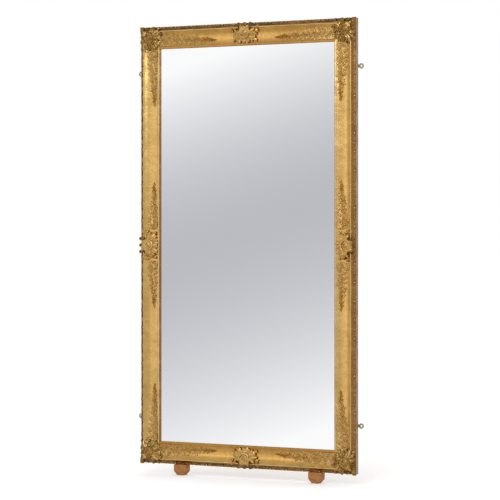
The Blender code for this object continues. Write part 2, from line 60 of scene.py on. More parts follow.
# The shade in the room: the slope of its line, and how far it reaches to either side of it.
SHADE_SLOPE = math.radians(19.0)
SHADE_ABOVE = math.radians(4.45)
SHADE_BELOW = math.radians(-5.57)
SHADE_GREY = 0.525
WALL_RISE = 0.475
WINDOW_RISE = 2.15
BEHIND_GREY = 0.44

SWEEP_SIZE = 120.0
SWEEP_GLOW = 0.11
SOFTBOX_PLACE = (1.3, -3.4, 2.9)
SOFTBOX_AIM = Vector((0.0, 0.0, 1.2))
SOFTBOX_SIZE = (1.6, 1.4)
SOFTBOX_POWER = 26.0

bpy.ops.object.select_all(action="DESELECT")
bpy.ops.object.camera_add(location=CAMERA_PLACE, rotation=(math.pi / 2, 0.0, CAMERA_TURN))
camera = bpy.context.object
camera.data.lens = CAMERA_LENS
camera.data.sensor_width = SENSOR_WIDTH
camera.data.shift_y = CAMERA_DROP
camera.data.clip_end = SIGHT_LIMIT
scene.camera = camera
scene.view_settings.view_transform = "Standard"


def add_node(tree, kind, inputs=None, **settings):
    """Adds a shader node, sets its options, and fills or links its inputs."""
    node = tree.nodes.new(kind)
    for name, value in settings.items():
        setattr(node, name, value)
    for name, value in (inputs or {}).items():
        if isinstance(value, bpy.types.NodeSocket):
            tree.links.new(value, node.inputs[name])
        else:
            node.inputs[name].default_value = value
    return node


def maths(tree, operation, *values, clamp=False):
    """One Math node, returned as its output."""
    inputs = dict(enumerate(values))
    node = add_node(tree, "ShaderNodeMath", inputs, operation=operation, use_clamp=clamp)
    return node.outputs[0]


def ranged(tree, value, low, high, start=0.0, end=1.0):
    """A smooth step from start at low to end at high."""
    inputs = dict(enumerate((value, low, high, start, end)))
    options = {"interpolation_type": "SMOOTHSTEP", "clamp": True}
    return add_node(tree, "ShaderNodeMapRange", inputs, **options).outputs["Result"]


def mixed_values(tree, share, first, second):
    return add_node(tree, "ShaderNodeMix", {0: share, 2: first, 3: second}).outputs[0]


def mixed_colours(tree, share, first, second):
    inputs = {0: share, 6: first, 7: second}
    return add_node(tree, "ShaderNodeMix", inputs, data_type="RGBA").outputs[2]


def shade_distance(tree, direction):
    """How far a direction lies above the sloping line of the shade, as an angle."""
    facing = Vector((-math.sin(CAMERA_TURN), -math.cos(CAMERA_TURN), 0.0))
    level = Vector((math.cos(CAMERA_TURN), -math.sin(CAMERA_TURN), 0.0))
    line = level * math.cos(SHADE_SLOPE) + Vector((0.0, 0.0, math.sin(SHADE_SLOPE)))
    inputs = {0: direction, 1: tuple(facing.cross(line))}
    height = add_node(tree, "ShaderNodeVectorMath", inputs, operation="DOT_PRODUCT")
    return maths(tree, "ARCSINE", height.outputs["Value"])


def make_studio():
    """Even white light, and for gloss alone a room: wall, window, grey shade, dark behind."""
    room = bpy.data.worlds.new("soft_studio")
    room.use_nodes = True
    room.cycles.sampling_method = "NONE"
    tree = room.node_tree
    tree.nodes.clear()
    direction = add_node(tree, "ShaderNodeTexCoord").outputs["Generated"]
    sideways, deep, upward = add_node(tree, "ShaderNodeSeparateXYZ", {0: direction}).outputs
    azimuth = maths(tree, "ARCTAN2", sideways, maths(tree, "MULTIPLY", deep, -1.0))
    elevation = maths(tree, "ARCSINE", upward)
    off_shade = shade_distance(tree, direction)

    def degrees(angle, low, high, start=0.0, end=1.0):
        return ranged(tree, angle, math.radians(low), math.radians(high), start, end)

    def product(*factors):
        total = factors[0]
        for factor in factors[1:]:
            total = maths(tree, "MULTIPLY", total, factor)
        return total

    def rise(reach, power):
        share = maths(tree, "DIVIDE", off_shade, reach)
        return maths(tree, "POWER", maths(tree, "MAXIMUM", share, 0.0), power, clamp=True)

    above = rise(SHADE_ABOVE, 1.9)
    below = rise(SHADE_BELOW, 1.8)
    ceiling = degrees(elevation, 13.0, 24.0, 1.0, 0.0)
    ground = degrees(elevation, -16.0, -9.0)
    left_part = degrees(azimuth, -22.0, -14.0, 1.0, 0.0)
    window = degrees(azimuth, -22.0, -8.0, WALL_RISE, WINDOW_RISE)
    high = product(above, ceiling, window)
    low = product(below, ground, left_part)
    wall = maths(tree, "MULTIPLY_ADD", low, WALL_RISE, maths(tree, "ADD", high, SHADE_GREY))
    from_left = degrees(azimuth, -76.0, -46.0)
    from_right = degrees(azimuth, 45.0, 100.0, 1.0, 0.0)
    from_floor = degrees(elevation, -40.0, -14.0)
    front = product(from_left, from_right, from_floor)
    gloss = add_node(tree, "ShaderNodeLightPath").outputs["Is Glossy Ray"]
    strength = mixed_values(tree, gloss, 1.0, mixed_values(tree, front, BEHIND_GREY, wall))

    white = (1.0, 1.0, 1.0, 1.0)
    bright = maths(tree, "ADD", above, below, clamp=True)
    tint = mixed_colours(tree, bright, (0.985, 0.995, 1.055, 1.0), white)
    daylight = product(degrees(azimuth, -20.0, -10.0), above)
    tint = mixed_colours(tree, daylight, tint, (0.95, 1.04, 1.22, 1.0))
    tint = mixed_colours(tree, front, (1.05, 0.985, 0.84, 1.0), tint)
    tint = mixed_colours(tree, gloss, white, tint)
    light = add_node(tree, "ShaderNodeBackground", {"Color": tint, "Strength": strength})
    add_node(tree, "ShaderNodeOutputWorld", {"Surface": light.outputs[0]})
    scene.world = room


def make_floor():
    bpy.ops.mesh.primitive_plane_add(size=SWEEP_SIZE, location=(0.0, 0.0, 0.0))
    floor = bpy.context.object
    floor.name = "studio_floor"
    floor.visible_glossy = False
    paper = bpy.data.materials.new("white_paper_sweep")
    paper.use_nodes = True
    shader = paper.node_tree.nodes["Principled BSDF"]
    shader.inputs["Base Color"].default_value = (0.98, 0.98, 0.98, 1.0)
    shader.inputs["Roughness"].default_value = 0.9
    shader.inputs["Specular IOR Level"].default_value = 0.0
    shader.inputs["Emission Color"].default_value = (1.0, 1.0, 1.0, 1.0)
    shader.inputs["Emission Strength"].default_value = SWEEP_GLOW
    floor.data.materials.append(paper)


def make_softbox():
    bpy.ops.object.light_add(type="AREA", location=SOFTBOX_PLACE)
    softbox = bpy.context.object
    aim = SOFTBOX_AIM - Vector(softbox.location)
    softbox.rotation_euler = aim.to_track_quat("-Z", "Y").to_euler()
    softbox.data.shape = "RECTANGLE"
    softbox.data.size, softbox.data.size_y = SOFTBOX_SIZE
    softbox.data.energy = SOFTBOX_POWER


make_studio()
make_floor()
make_softbox()


# ---------------------------------------------------------------- Frame members
# Two rails and two stiles of pine, run to one moulding and mitred at the corners. The front is
# coated with gesso and bole and oil gilded, with a painted highlight along the ridge and painted
# light and shade across the moulding; the outer side is painted.

FRAME_WIDTH = 0.985
FRAME_HEIGHT = 1.800
MEMBER_WIDTH = 0.092
FRAME_DEPTH = 0.034
FOOT_HEIGHT = 0.044
GAP = 0.0003
MITRE_CLEARANCE = 0.0002
ORNAMENT_PROUD = 0.010

BACK_OF_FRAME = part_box("frame_top_rail")[1].y
RIDGE_Y = BACK_OF_FRAME - FRAME_DEPTH
TOP_Z = FOOT_HEIGHT + FRAME_HEIGHT
MIDDLE_Z = FOOT_HEIGHT + FRAME_HEIGHT / 2
HALF_LENGTH = {
    "top": FRAME_WIDTH / 2,
    "bottom": FRAME_WIDTH / 2,
    "left": FRAME_HEIGHT / 2,
    "right": FRAME_HEIGHT / 2,
}
MEMBERS = {
    "top": "frame_top_rail",
    "bottom": "frame_bottom_rail",
    "left": "frame_left_stile",
    "right": "frame_right_stile",
}

# The sides where point_at turns a casting's faces over.
MIRRORED_SIDES = ("top", "left")

# The moulding in section: in from the outer edge, back from the ridge.
ARRIS = (0.0012, 0.0123)
SIDE_TOP = 0.0135
HOLLOW_SINK = 0.002352
RIDGE_FOOT = (0.0165, 0.0016)
RIDGE_TOP = 0.0190
RIDGE_REACH = 0.0025
RIDGE_ROUND = 0.94
RIDGE_FALL = 0.66
COVE_START = (0.0220, 0.0026)
COVE_BOTTOM = (0.0520, 0.0126)
COVE_END = (0.0820, 0.0080)
SIGHT_STEP = (0.0830, 0.0070)
SIGHT_CREST = (0.0885, 0.0053)
SIGHT_ROUND = ((0.0898, 0.0052), (0.0908, 0.0056), (0.0916, 0.0064), (0.0920, 0.0075))
LIP_CORNER = (0.0920, 0.0080)
LIP_BACK = 0.0145
REBATE_WALL = 0.0820


def point_at(side, along, inwards, depth):
    """Along a side from its middle, in from its outer edge, back from its ridge."""
    y = RIDGE_Y + depth
    if side == "top":
        return Vector((along, y, TOP_Z - inwards))
    if side == "bottom":
        return Vector((along, y, FOOT_HEIGHT + inwards))
    if side == "left":
        return Vector((inwards - FRAME_WIDTH / 2, y, MIDDLE_Z + along))
    return Vector((FRAME_WIDTH / 2 - inwards, y, MIDDLE_Z + along))


def place_on(side, point):
    """The reverse of point_at."""
    depth = point.y - RIDGE_Y
    if side == "top":
        return point.x, TOP_Z - point.z, depth
    if side == "bottom":
        return point.x, point.z - FOOT_HEIGHT, depth
    if side == "left":
        return point.z - MIDDLE_Z, point.x + FRAME_WIDTH / 2, depth
    return point.z - MIDDLE_Z, FRAME_WIDTH / 2 - point.x, depth


def cove_depth(inwards):
    """The big cove: two arcs that meet level at its bottom."""
    start = COVE_START if inwards < COVE_BOTTOM[0] else COVE_END
    run = abs(COVE_BOTTOM[0] - start[0])
    rise = COVE_BOTTOM[1] - start[1]
    radius = (run**2 + rise**2) / (2 * rise)
    across = inwards - COVE_BOTTOM[0]
    return COVE_BOTTOM[1] - radius + math.sqrt(radius**2 - across**2)


def hollow_depth(inwards):
    """The outer hollow: a shallow arc sunk below the line from the arris to the ridge."""
    share = (inwards - ARRIS[0]) / (RIDGE_FOOT[0] - ARRIS[0])
    share = min(1.0, max(0.0, share))
    chord = ARRIS[1] + (RIDGE_FOOT[1] - ARRIS[1]) * share
    return chord + HOLLOW_SINK * 4 * share * (1 - share)


def ridge_depth(inwards):
    """The top of the ridge: most of a half round, down to its foot on both sides."""
    share = RIDGE_ROUND * (inwards - RIDGE_TOP) / RIDGE_REACH
    return RIDGE_FOOT[1] * (1 - math.sqrt(max(0.0, 1 - share**2))) / RIDGE_FALL


def stepped(start, end, steps):
    """Even steps from start to end, both ends with them."""
    return [start + (end - start) * step / steps for step in range(steps + 1)]


def moulding_outline():
    points = [(0.0, FRAME_DEPTH), (0.0, SIDE_TOP)]
    points += [(u, hollow_depth(u)) for u in stepped(ARRIS[0], RIDGE_FOOT[0], 12)]
    crown = stepped(RIDGE_TOP - RIDGE_REACH, RIDGE_TOP + RIDGE_REACH, 10)
    points += [(u, ridge_depth(u)) for u in crown[1:-1]]
    points += [(u, cove_depth(u)) for u in stepped(COVE_START[0], COVE_END[0], 30)]
    points += [SIGHT_STEP, SIGHT_CREST, *SIGHT_ROUND]
    points += [LIP_CORNER, (LIP_CORNER[0], LIP_BACK), (REBATE_WALL, LIP_BACK)]
    return points + [(REBATE_WALL, FRAME_DEPTH)]


def select_only(piece):
    bpy.ops.object.select_all(action="DESELECT")
    piece.select_set(True)
    bpy.context.view_layer.objects.active = piece


def store(mesh, name, values):
    """Writes one number a vertex, which the material reads back by name."""
    mesh.attributes.new(name, "FLOAT", "POINT").data.foreach_set("value", values)


# Pockets for the keys, across the back of every mitre.
KEY_LENGTH = 0.080
KEY_WIDTH = 0.018
KEY_THICKNESS = 0.008
POCKET_PAST = 0.002


def cut_key_pocket(member, upright, level):
    """Cuts half of one key's slanting pocket out of a member."""
    low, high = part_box(f"mitre_key_{upright}_{level}")
    middle = (low + high) / 2
    middle.y += (POCKET_PAST - GAP) / 2
    lean = math.pi / 4 if (upright == "top") == (level == "right") else -math.pi / 4
    bpy.ops.object.select_all(action="DESELECT")
    bpy.ops.mesh.primitive_cube_add(size=1.0, location=middle, rotation=(0.0, lean, 0.0))
    cutter = bpy.context.object
    cutter.scale = (KEY_LENGTH + 2 * GAP, KEY_THICKNESS + POCKET_PAST + GAP, KEY_WIDTH + 2 * GAP)
    cut_away(member, cutter)


def cut_away(piece, cutter):
    """Takes one shape out of a piece for good, and clears the cutter away."""
    modifier = piece.modifiers.new("cut", "BOOLEAN")
    modifier.operation = "DIFFERENCE"
    modifier.solver = "EXACT"
    modifier.object = cutter
    select_only(piece)
    bpy.ops.object.modifier_apply(modifier=modifier.name)
    bpy.data.objects.remove(cutter)


def moulded_member(side):
    outline = moulding_outline()
    half = HALF_LENGTH[side]
    mesh = bpy.data.meshes.new(MEMBERS[side] + "_gilded")
    mesh.from_pydata([(-half, u, d) for u, d in outline], [], [range(len(outline))])
    member = bpy.data.objects.new(mesh.name, mesh)
    bpy.context.collection.objects.link(member)
    select_only(member)
    bpy.ops.object.mode_set(mode="EDIT")
    bpy.ops.mesh.select_all(action="SELECT")
    bpy.ops.mesh.extrude_region_move(TRANSFORM_OT_translate={"value": (2 * half, 0, 0)})
    for end in (-1, 1):
        bpy.ops.mesh.select_all(action="SELECT")
        bpy.ops.mesh.bisect(
            plane_co=(end * (half - MITRE_CLEARANCE), 0.0, 0.0),
            plane_no=(end, 1.0, 0.0),
            use_fill=True,
            clear_outer=True,
        )
    bpy.ops.object.mode_set(mode="OBJECT")
    for vertex in mesh.vertices:
        vertex.co = point_at(side, *vertex.co)
    bpy.ops.object.mode_set(mode="EDIT")
    bpy.ops.mesh.select_all(action="SELECT")
    bpy.ops.mesh.normals_make_consistent(inside=False)
    bpy.ops.object.mode_set(mode="OBJECT")
    for upright in ("top", "bottom"):
        for level in ("left", "right"):
            if side in (upright, level):
                cut_key_pocket(member, upright, level)
    spots = [place_on(side, vertex.co) for vertex in mesh.vertices]
    store(mesh, "along", [spot[0] for spot in spots])
    store(mesh, "inwards", [spot[1] for spot in spots])
    store(mesh, "depth", [spot[2] for spot in spots])
    bpy.ops.object.shade_smooth_by_angle(angle=math.radians(24.0))
    return member


COLOUR = "NodeSocketColor"
VALUE = "NodeSocketFloat"


def new_group(name, inputs, outputs):
    """An empty node group with named sockets after its Place, and its two end nodes."""
    tree = bpy.data.node_groups.new(name, "ShaderNodeTree")
    tree.interface.new_socket("Place", in_out="INPUT", socket_type="NodeSocketVector")
    for label, kind in inputs.items():
        tree.interface.new_socket(label, in_out="INPUT", socket_type=kind)
    for label, kind in outputs.items():
        tree.interface.new_socket(label, in_out="OUTPUT", socket_type=kind)
    return tree, add_node(tree, "NodeGroupInput").outputs, add_node(tree, "NodeGroupOutput")


def use_group(tree, group, values):
    """Puts a group into a material, its inputs filled or linked in their order."""
    node = tree.nodes.new("ShaderNodeGroup")
    node.node_tree = group
    for socket, value in zip(node.inputs, values):
        if isinstance(value, bpy.types.NodeSocket):
            tree.links.new(value, socket)
        else:
            socket.default_value = value
    return node.outputs


def noise(tree, place, scale, detail=3.0, roughness=0.55, distortion=0.0):
    inputs = {"Vector": place, "Scale": scale, "Detail": detail}
    inputs |= {"Roughness": roughness, "Distortion": distortion}
    return add_node(tree, "ShaderNodeTexNoise", inputs).outputs["Fac"]


def colour_steps(tree, value, stops):
    """A colour ramp read at value; stops are (position, colour)."""
    node = add_node(tree, "ShaderNodeValToRGB", {0: value})
    ramp = node.color_ramp
    while len(ramp.elements) > 1:
        ramp.elements.remove(ramp.elements[-1])
    ramp.elements[0].position = stops[0][0]
    ramp.elements[0].color = (*stops[0][1], 1.0)
    for position, colour in stops[1:]:
        ramp.elements.new(position).color = (*colour, 1.0)
    return node.outputs["Color"]


def make_gilding_group():
    """Gold leaf over bole: mottled, lapped, rubbed through to the bole, and darkened in places by
    grime and by painted shade.
    """
    inputs = {"Leaf": COLOUR, "Bole": COLOUR, "Grime and shade": COLOUR}
    inputs |= {"Laps": VALUE, "Rubbing": VALUE, "Dirt": VALUE}
    outputs = {"Colour": COLOUR, "Metal": VALUE, "Roughness": VALUE, "Height": VALUE}
    tree, given, made = new_group("gold_leaf_on_bole", inputs, outputs)
    cloud = noise(tree, given["Place"], 7.0, 4.0, 0.6)
    mottle = noise(tree, given["Place"], 46.0, 5.0, 0.62, 0.4)
    grain = noise(tree, given["Place"], 360.0, 3.0, 0.6)

    clouded = ranged(tree, cloud, 0.35, 0.68, 0.0, 0.42)
    leaf = mixed_colours(tree, clouded, given["Leaf"], (0.60, 0.33, 0.085, 1.0))
    speckled = ranged(tree, mottle, 0.42, 0.72, 0.0, 0.38)
    leaf = mixed_colours(tree, speckled, leaf, (0.52, 0.29, 0.075, 1.0))
    leaf = mixed_colours(tree, given["Laps"], leaf, (0.99, 0.76, 0.36, 1.0))

    worn = maths(tree, "MULTIPLY_ADD", cloud, 0.35, maths(tree, "MULTIPLY", mottle, 0.75))
    bare = ranged(tree, maths(tree, "ADD", worn, given["Rubbing"]), 0.72, 0.92)
    # Darkening: random dust, plus the given mask, which is real dirt on the moulding and painted
    # shade with dust in the deep parts of the ornaments.
    dust = maths(tree, "MULTIPLY_ADD", grain, 0.25, maths(tree, "MULTIPLY", mottle, 0.55))
    dirt_and_shade = ranged(tree, maths(tree, "ADD", dust, given["Dirt"]), 0.62, 1.05)
    colour = mixed_colours(tree, bare, leaf, given["Bole"])
    colour = mixed_colours(tree, dirt_and_shade, colour, given["Grime and shade"])
    tree.links.new(colour, made.inputs["Colour"])

    dull = maths(tree, "MAXIMUM", bare, dirt_and_shade)
    tree.links.new(maths(tree, "MULTIPLY_ADD", dull, -0.8, 0.98), made.inputs["Metal"])
    rough = maths(tree, "MULTIPLY_ADD", mottle, 0.16, 0.17)
    rough = maths(tree, "MULTIPLY_ADD", dull, 0.26, rough)
    tree.links.new(rough, made.inputs["Roughness"])
    height = maths(tree, "MULTIPLY_ADD", grain, 0.35, maths(tree, "MULTIPLY", mottle, 0.6))
    height = maths(tree, "MULTIPLY_ADD", bare, -0.25, height)
    tree.links.new(height, made.inputs["Height"])
    return tree


GILDING = make_gilding_group()
BRIGHT_LEAF = (0.97, 0.63, 0.21)
RED_BOLE = (0.24, 0.075, 0.025, 1.0)
BROWN_GRIME = (0.085, 0.045, 0.018, 1.0)


def new_material(name):
    material = bpy.data.materials.new(name)
    material.use_nodes = True
    tree = material.node_tree
    return material, tree, tree.nodes["Principled BSDF"]


def object_place(tree):
    return add_node(tree, "ShaderNodeTexCoord").outputs["Object"]


def stored(tree, name):
    return add_node(tree, "ShaderNodeAttribute", attribute_name=name).outputs["Fac"]


def finish(tree, shader, colour, metal, rough):
    """Gives the shader its colour, metal and roughness, each linked or set."""
    values = {"Base Color": colour, "Metallic": metal, "Roughness": rough}
    for name, value in values.items():
        if isinstance(value, bpy.types.NodeSocket):
            tree.links.new(value, shader.inputs[name])
        else:
            shader.inputs[name].default_value = value


def bump(tree, shader, height, distance):
    node = add_node(tree, "ShaderNodeBump", {"Height": height, "Distance": distance})
    tree.links.new(node.outputs["Normal"], shader.inputs["Normal"])


def make_wood_group():
    """Sawn softwood or hardwood: Place is stretched along the grain, Shift changes the board."""
    inputs = {"Early": COLOUR, "Late": COLOUR, "Stain": COLOUR, "Shift": VALUE}
    outputs = {"Colour": COLOUR, "Roughness": VALUE, "Height": VALUE}
    tree, given, made = new_group("sawn_wood", inputs, outputs)
    away = maths(tree, "MULTIPLY", given["Shift"], 23.0)
    away = add_node(tree, "ShaderNodeCombineXYZ", {0: away, 1: away, 2: away})
    moved = {0: given["Place"], 1: away.outputs[0]}
    place = add_node(tree, "ShaderNodeVectorMath", moved, operation="ADD").outputs[0]
    bend = noise(tree, place, 0.45, 3.0, 0.6, 0.6)
    figure = maths(tree, "SINE", maths(tree, "MULTIPLY", bend, 62.0))
    fibre = noise(tree, place, 9.0, 6.0, 0.72)
    figure = maths(tree, "MULTIPLY_ADD", maths(tree, "SUBTRACT", fibre, 0.5), 2.4, figure)
    rings = ranged(tree, figure, -0.3, 1.5, 0.0, 0.75)
    wood = mixed_colours(tree, rings, given["Early"], given["Late"])
    pores = ranged(tree, fibre, 0.52, 0.78, 0.0, 0.55)
    wood = mixed_colours(tree, pores, wood, given["Late"])
    aged = ranged(tree, noise(tree, place, 0.9, 3.0, 0.6), 0.42, 0.75, 0.0, 0.5)
    aged = maths(tree, "MULTIPLY_ADD", given["Shift"], 0.35, aged)
    wood = mixed_colours(tree, aged, wood, given["Stain"])
    tree.links.new(wood, made.inputs["Colour"])
    tree.links.new(ranged(tree, fibre, 0.3, 0.7, 0.55, 0.80), made.inputs["Roughness"])
    tree.links.new(maths(tree, "MULTIPLY_ADD", rings, -0.3, fibre), made.inputs["Height"])
    return tree


WOOD = make_wood_group()
OLD_PINE = ((0.40, 0.255, 0.135), (0.255, 0.140, 0.062), (0.165, 0.095, 0.048))
LEVEL_GRAIN = (2.0, 34.0, 34.0)
UPRIGHT_GRAIN = (34.0, 34.0, 2.0)


def sawn_wood(tree, stretch, tones, shift=0.0):
    """The wood group, laid with its grain along the axis that is stretched least."""
    inputs = {"Vector": object_place(tree), "Scale": stretch}
    place = add_node(tree, "ShaderNodeMapping", inputs).outputs[0]
    return use_group(tree, WOOD, (place, *((*tone, 1.0) for tone in tones), shift))


def side_paint(tree, place):
    """Thin streaky paint, grey-brown, down the outer side of the frame."""
    streaks = add_node(tree, "ShaderNodeMapping", {"Vector": place, "Scale": (60.0, 60.0, 9.0)})
    streak = noise(tree, streaks.outputs[0], 3.0, 5.0, 0.65)
    tones = ((0.150, 0.082, 0.045), (0.300, 0.205, 0.135), (0.440, 0.350, 0.270))
    return colour_steps(tree, streak, list(zip((0.30, 0.50, 0.70), tones)))


# Where the finishes meet, and how many leaves of gold lie along a metre.
HOLLOW_EDGE = (0.0135, 0.0175)
SIDE_EDGE = (0.0131, 0.0139)
PAINT_EDGE = (0.0004, 0.0010)
LEAVES_PER_METRE = 12.3


def moulding_gold(name, hollow, outer_lit_tone, cove_lit_tone, sight_lit_tone, grain):
    """Gilding whose colour follows the moulding: bole in the hollow, a painted highlight along the
    ridge, and painted light and shade in the bands of the cove and the sight.

    The outer side is thinly painted, and the back and the rebate are left as sawn pine.
    """
    material, tree, shader = new_material(name)
    place = object_place(tree)
    inwards = stored(tree, "inwards")
    wobble = maths(tree, "SUBTRACT", noise(tree, place, 14.0, 4.0, 0.6), 0.5)
    across = maths(tree, "MULTIPLY_ADD", wobble, 0.006, inwards)
    # Across the moulding, as painted light: darker towards the outer arris, the hollow, a painted
    # highlight along the ridge, the cove's two halves and the sight moulding painted lit or shaded
    # by which way they face, and painted shade in a dark line at the sight edge.
    stops = [
        (0.00, (0.20, 0.095, 0.035)),
        (0.16, hollow),
        (0.195, (0.97, 0.70, 0.31)),
        (0.23, (0.97, 0.70, 0.31)),
        (0.27, outer_lit_tone),
        (0.48, outer_lit_tone),
        (0.60, cove_lit_tone),
        (0.78, cove_lit_tone),
        (0.87, sight_lit_tone),
        (0.97, sight_lit_tone),
        (1.00, (0.35, 0.17, 0.05)),
    ]
    leaf = colour_steps(tree, maths(tree, "DIVIDE", across, MEMBER_WIDTH), stops)
    run = maths(tree, "MULTIPLY_ADD", wobble, 0.012, stored(tree, "along"))
    on_leaf = maths(tree, "FRACT", maths(tree, "MULTIPLY", run, LEAVES_PER_METRE))
    off_middle = maths(tree, "ABSOLUTE", maths(tree, "SUBTRACT", on_leaf, 0.5))
    laps = ranged(tree, off_middle, 0.45, 0.49, 0.0, 0.16)
    in_hollow = ranged(tree, across, *HOLLOW_EDGE, 1.0, 0.0)
    rubbing = maths(tree, "MULTIPLY", in_hollow, 0.14)
    darkening = maths(tree, "MULTIPLY", in_hollow, 0.20)
    gilding = use_group(tree, GILDING, (place, leaf, RED_BOLE, BROWN_GRIME, laps, rubbing, darkening))

    on_side = ranged(tree, stored(tree, "depth"), *SIDE_EDGE)
    on_edge = ranged(tree, inwards, *PAINT_EDGE, 1.0, 0.0)
    wood = sawn_wood(tree, grain, OLD_PINE)["Colour"]
    bare = mixed_colours(tree, on_edge, wood, side_paint(tree, place))
    colour = mixed_colours(tree, on_side, gilding["Colour"], bare)
    metal = maths(tree, "MULTIPLY", gilding["Metal"], maths(tree, "SUBTRACT", 1.0, on_side))
    finish(tree, shader, colour, metal, mixed_values(tree, on_side, gilding["Roughness"], 0.62))
    slow = noise(tree, place, 22.0, 2.0, 0.5)
    bump(tree, shader, maths(tree, "MULTIPLY_ADD", slow, 2.2, gilding["Height"]), 0.0007)
    return material


# The rails' gold is painted in shade, darker and more orange than the stiles', and their hollow is
# painted dark shade; the stiles' orange hollow is the bole.
ORANGE_HOLLOW = (0.55, 0.225, 0.06)
RAIL_SHADED_HOLLOW = (0.200, 0.090, 0.036)
STILE_LIT_TONES = (BRIGHT_LEAF, (0.93, 0.585, 0.19), (0.98, 0.69, 0.29))
RAIL_SHADED_TONES = ((0.95, 0.555, 0.155), (0.89, 0.52, 0.15), (0.88, 0.46, 0.115))
LIT_STILE_GOLD = moulding_gold("gilt_stile_lit", ORANGE_HOLLOW, *STILE_LIT_TONES, UPRIGHT_GRAIN)
SHADED_RAIL_GOLD = moulding_gold("gilt_rail_shaded", RAIL_SHADED_HOLLOW, *RAIL_SHADED_TONES, LEVEL_GRAIN)

for side, node_name in MEMBERS.items():
    member = moulded_member(side)
    member.data.materials.append(SHADED_RAIL_GOLD if side in ("top", "bottom") else LIT_STILE_GOLD)
    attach(member, "root")
    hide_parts(node_name)


# ---------------------------------------------------------------- Composition ornament, the parts
# Leaves, volutes, flowers, lobes and beads as a carver would cut them for the boxwood moulds.
# Each is made once, flat: x and y across the casting, z up from what it lies on.


def taken(piece):
    """The points, faces and relief of a modelled part, which is then cleared away."""
    mesh = piece.data
    points = np.array([tuple(vertex.co) for vertex in mesh.vertices])
    faces = [tuple(face.vertices) for face in mesh.polygons]
    if "relief" in mesh.attributes:
        relief = np.array([item.value for item in mesh.attributes["relief"].data])
    else:
        top = max(points[:, 2].max(), 1e-6)
        relief = np.clip(points[:, 2] / top, 0.0, 1.0)
    bpy.data.objects.remove(piece)
    return {"points": points, "faces": faces, "relief": relief}


def held(value):
    return min(1.0, max(0.0, value))


def close_underside(piece):
    """Fills the open rim below a relief, so that the part is one closed shape."""
    select_only(piece)
    bpy.ops.object.mode_set(mode="EDIT")
    bpy.ops.mesh.select_all(action="DESELECT")
    bpy.ops.mesh.select_mode(type="EDGE")
    bpy.ops.mesh.select_non_manifold()
    bpy.ops.mesh.edge_face_add()
    bpy.ops.mesh.select_all(action="SELECT")
    bpy.ops.mesh.normals_make_consistent(inside=False)
    bpy.ops.object.mode_set(mode="OBJECT")


def carved_grid(columns, rows, carve, rim_depth, rim_tone):
    """A grid moved by carve(along, across, edge), with its rim sunk into the ground."""
    bpy.ops.object.select_all(action="DESELECT")
    bpy.ops.mesh.primitive_grid_add(x_subdivisions=columns, y_subdivisions=rows, size=2.0)
    piece = bpy.context.object
    relief = []
    for vertex in piece.data.vertices:
        along = (vertex.co.x + 1.0) / 2.0
        across = vertex.co.y
        x, y, z = carve(along, across, abs(across))
        on_rim = abs(across) > 0.999 or along < 0.001 or along > 0.999
        vertex.co = (x, y, rim_depth if on_rim else z)
        relief.append(rim_tone if on_rim else held(z))
    store(piece.data, "relief", relief)
    close_underside(piece)
    return taken(piece)


def acanthus(columns, rows, lobes, fullness):
    """A leaf one unit long: scalloped edges swept forward, a sunk midrib and a lifted tip."""

    def carve(along, across, edge):
        swell = math.sin(math.pi * min(1.0, 0.06 + 0.94 * along**0.8)) ** 0.65
        notch = 0.5 + 0.5 * math.cos(2 * math.pi * (lobes * along + 0.15))
        half = 0.5 * fullness * swell * (1.0 - 0.42 * notch**2 * edge)
        x = along + 0.16 * swell * edge**1.5
        crown = 0.70 * (1.0 - edge**2.4) * swell**0.6
        midrib = 0.42 * math.exp(-((across / 0.16) ** 2))
        flute = 0.20 * math.cos(2 * math.pi * (lobes * along - 0.45 * edge)) * edge**0.7
        return x, across * half, 0.20 + crown - midrib - flute + 0.55 * along**4

    return carved_grid(columns, rows, carve, -0.25, 0.12)


def petal_shape():
    def carve(along, across, edge):
        swell = math.sin(math.pi * min(1.0, 0.10 + 0.80 * along)) ** 0.6
        groove = 0.45 * math.exp(-((across / 0.22) ** 2)) * along
        return along, across * 0.5 * swell, 0.15 + 0.75 * (1 - edge**2) + 0.25 * along - groove

    return carved_grid(6, 6, carve, -0.30, 0.0)


def shell_lobe():
    """A fluted lobe, narrow at its root and round at its end."""

    def carve(along, across, edge):
        half = 0.5 * (0.40 + 0.60 * math.sin(math.pi / 2 * along**0.8))
        crown = 0.80 * (1.0 - edge**2.4) * math.sin(math.pi * (0.15 + 0.70 * along))
        flute = 0.13 * math.cos(3 * math.pi * across) * along
        return along * (1.0 - 0.30 * edge**2), across * half, 0.12 + crown + flute

    return carved_grid(8, 10, carve, -0.30, 0.05)


def rod(path, swellings, thickness):
    """A round bar along a path of points, thicker or thinner by its swellings."""
    curve = bpy.data.curves.new("rod", "CURVE")
    curve.dimensions = "3D"
    curve.bevel_depth = thickness
    curve.bevel_resolution = 2
    curve.use_fill_caps = True
    spline = curve.splines.new("POLY")
    spline.points.add(len(path) - 1)
    for point, place, swelling in zip(spline.points, path, swellings):
        point.co = (*place, 1.0)
        point.radius = swelling
    piece = bpy.data.objects.new("rod", curve)
    bpy.context.collection.objects.link(piece)
    select_only(piece)
    bpy.ops.object.convert(target="MESH")
    return taken(bpy.context.object)


def volute(turns, steps, thickness):
    """A tapered scroll that runs in from its tail and winds up on a round eye."""
    x = 0.0
    y = 0.0
    path = []
    swellings = []
    for step in range(steps + 1):
        share = step / steps
        path.append((x, y, (0.35 + 0.5 * share) * thickness))
        body = 0.30 + 0.85 * math.sin(math.pi * min(1.0, 0.08 + share * 0.85)) ** 0.8
        swellings.append(1.15 if step >= steps - 2 else body)
        heading = 2 * math.pi * turns * share**1.25
        pace = (1.0 - 0.80 * share) / steps
        x += pace * math.cos(heading)
        y += pace * math.sin(heading)
    return rod(path, swellings, thickness)


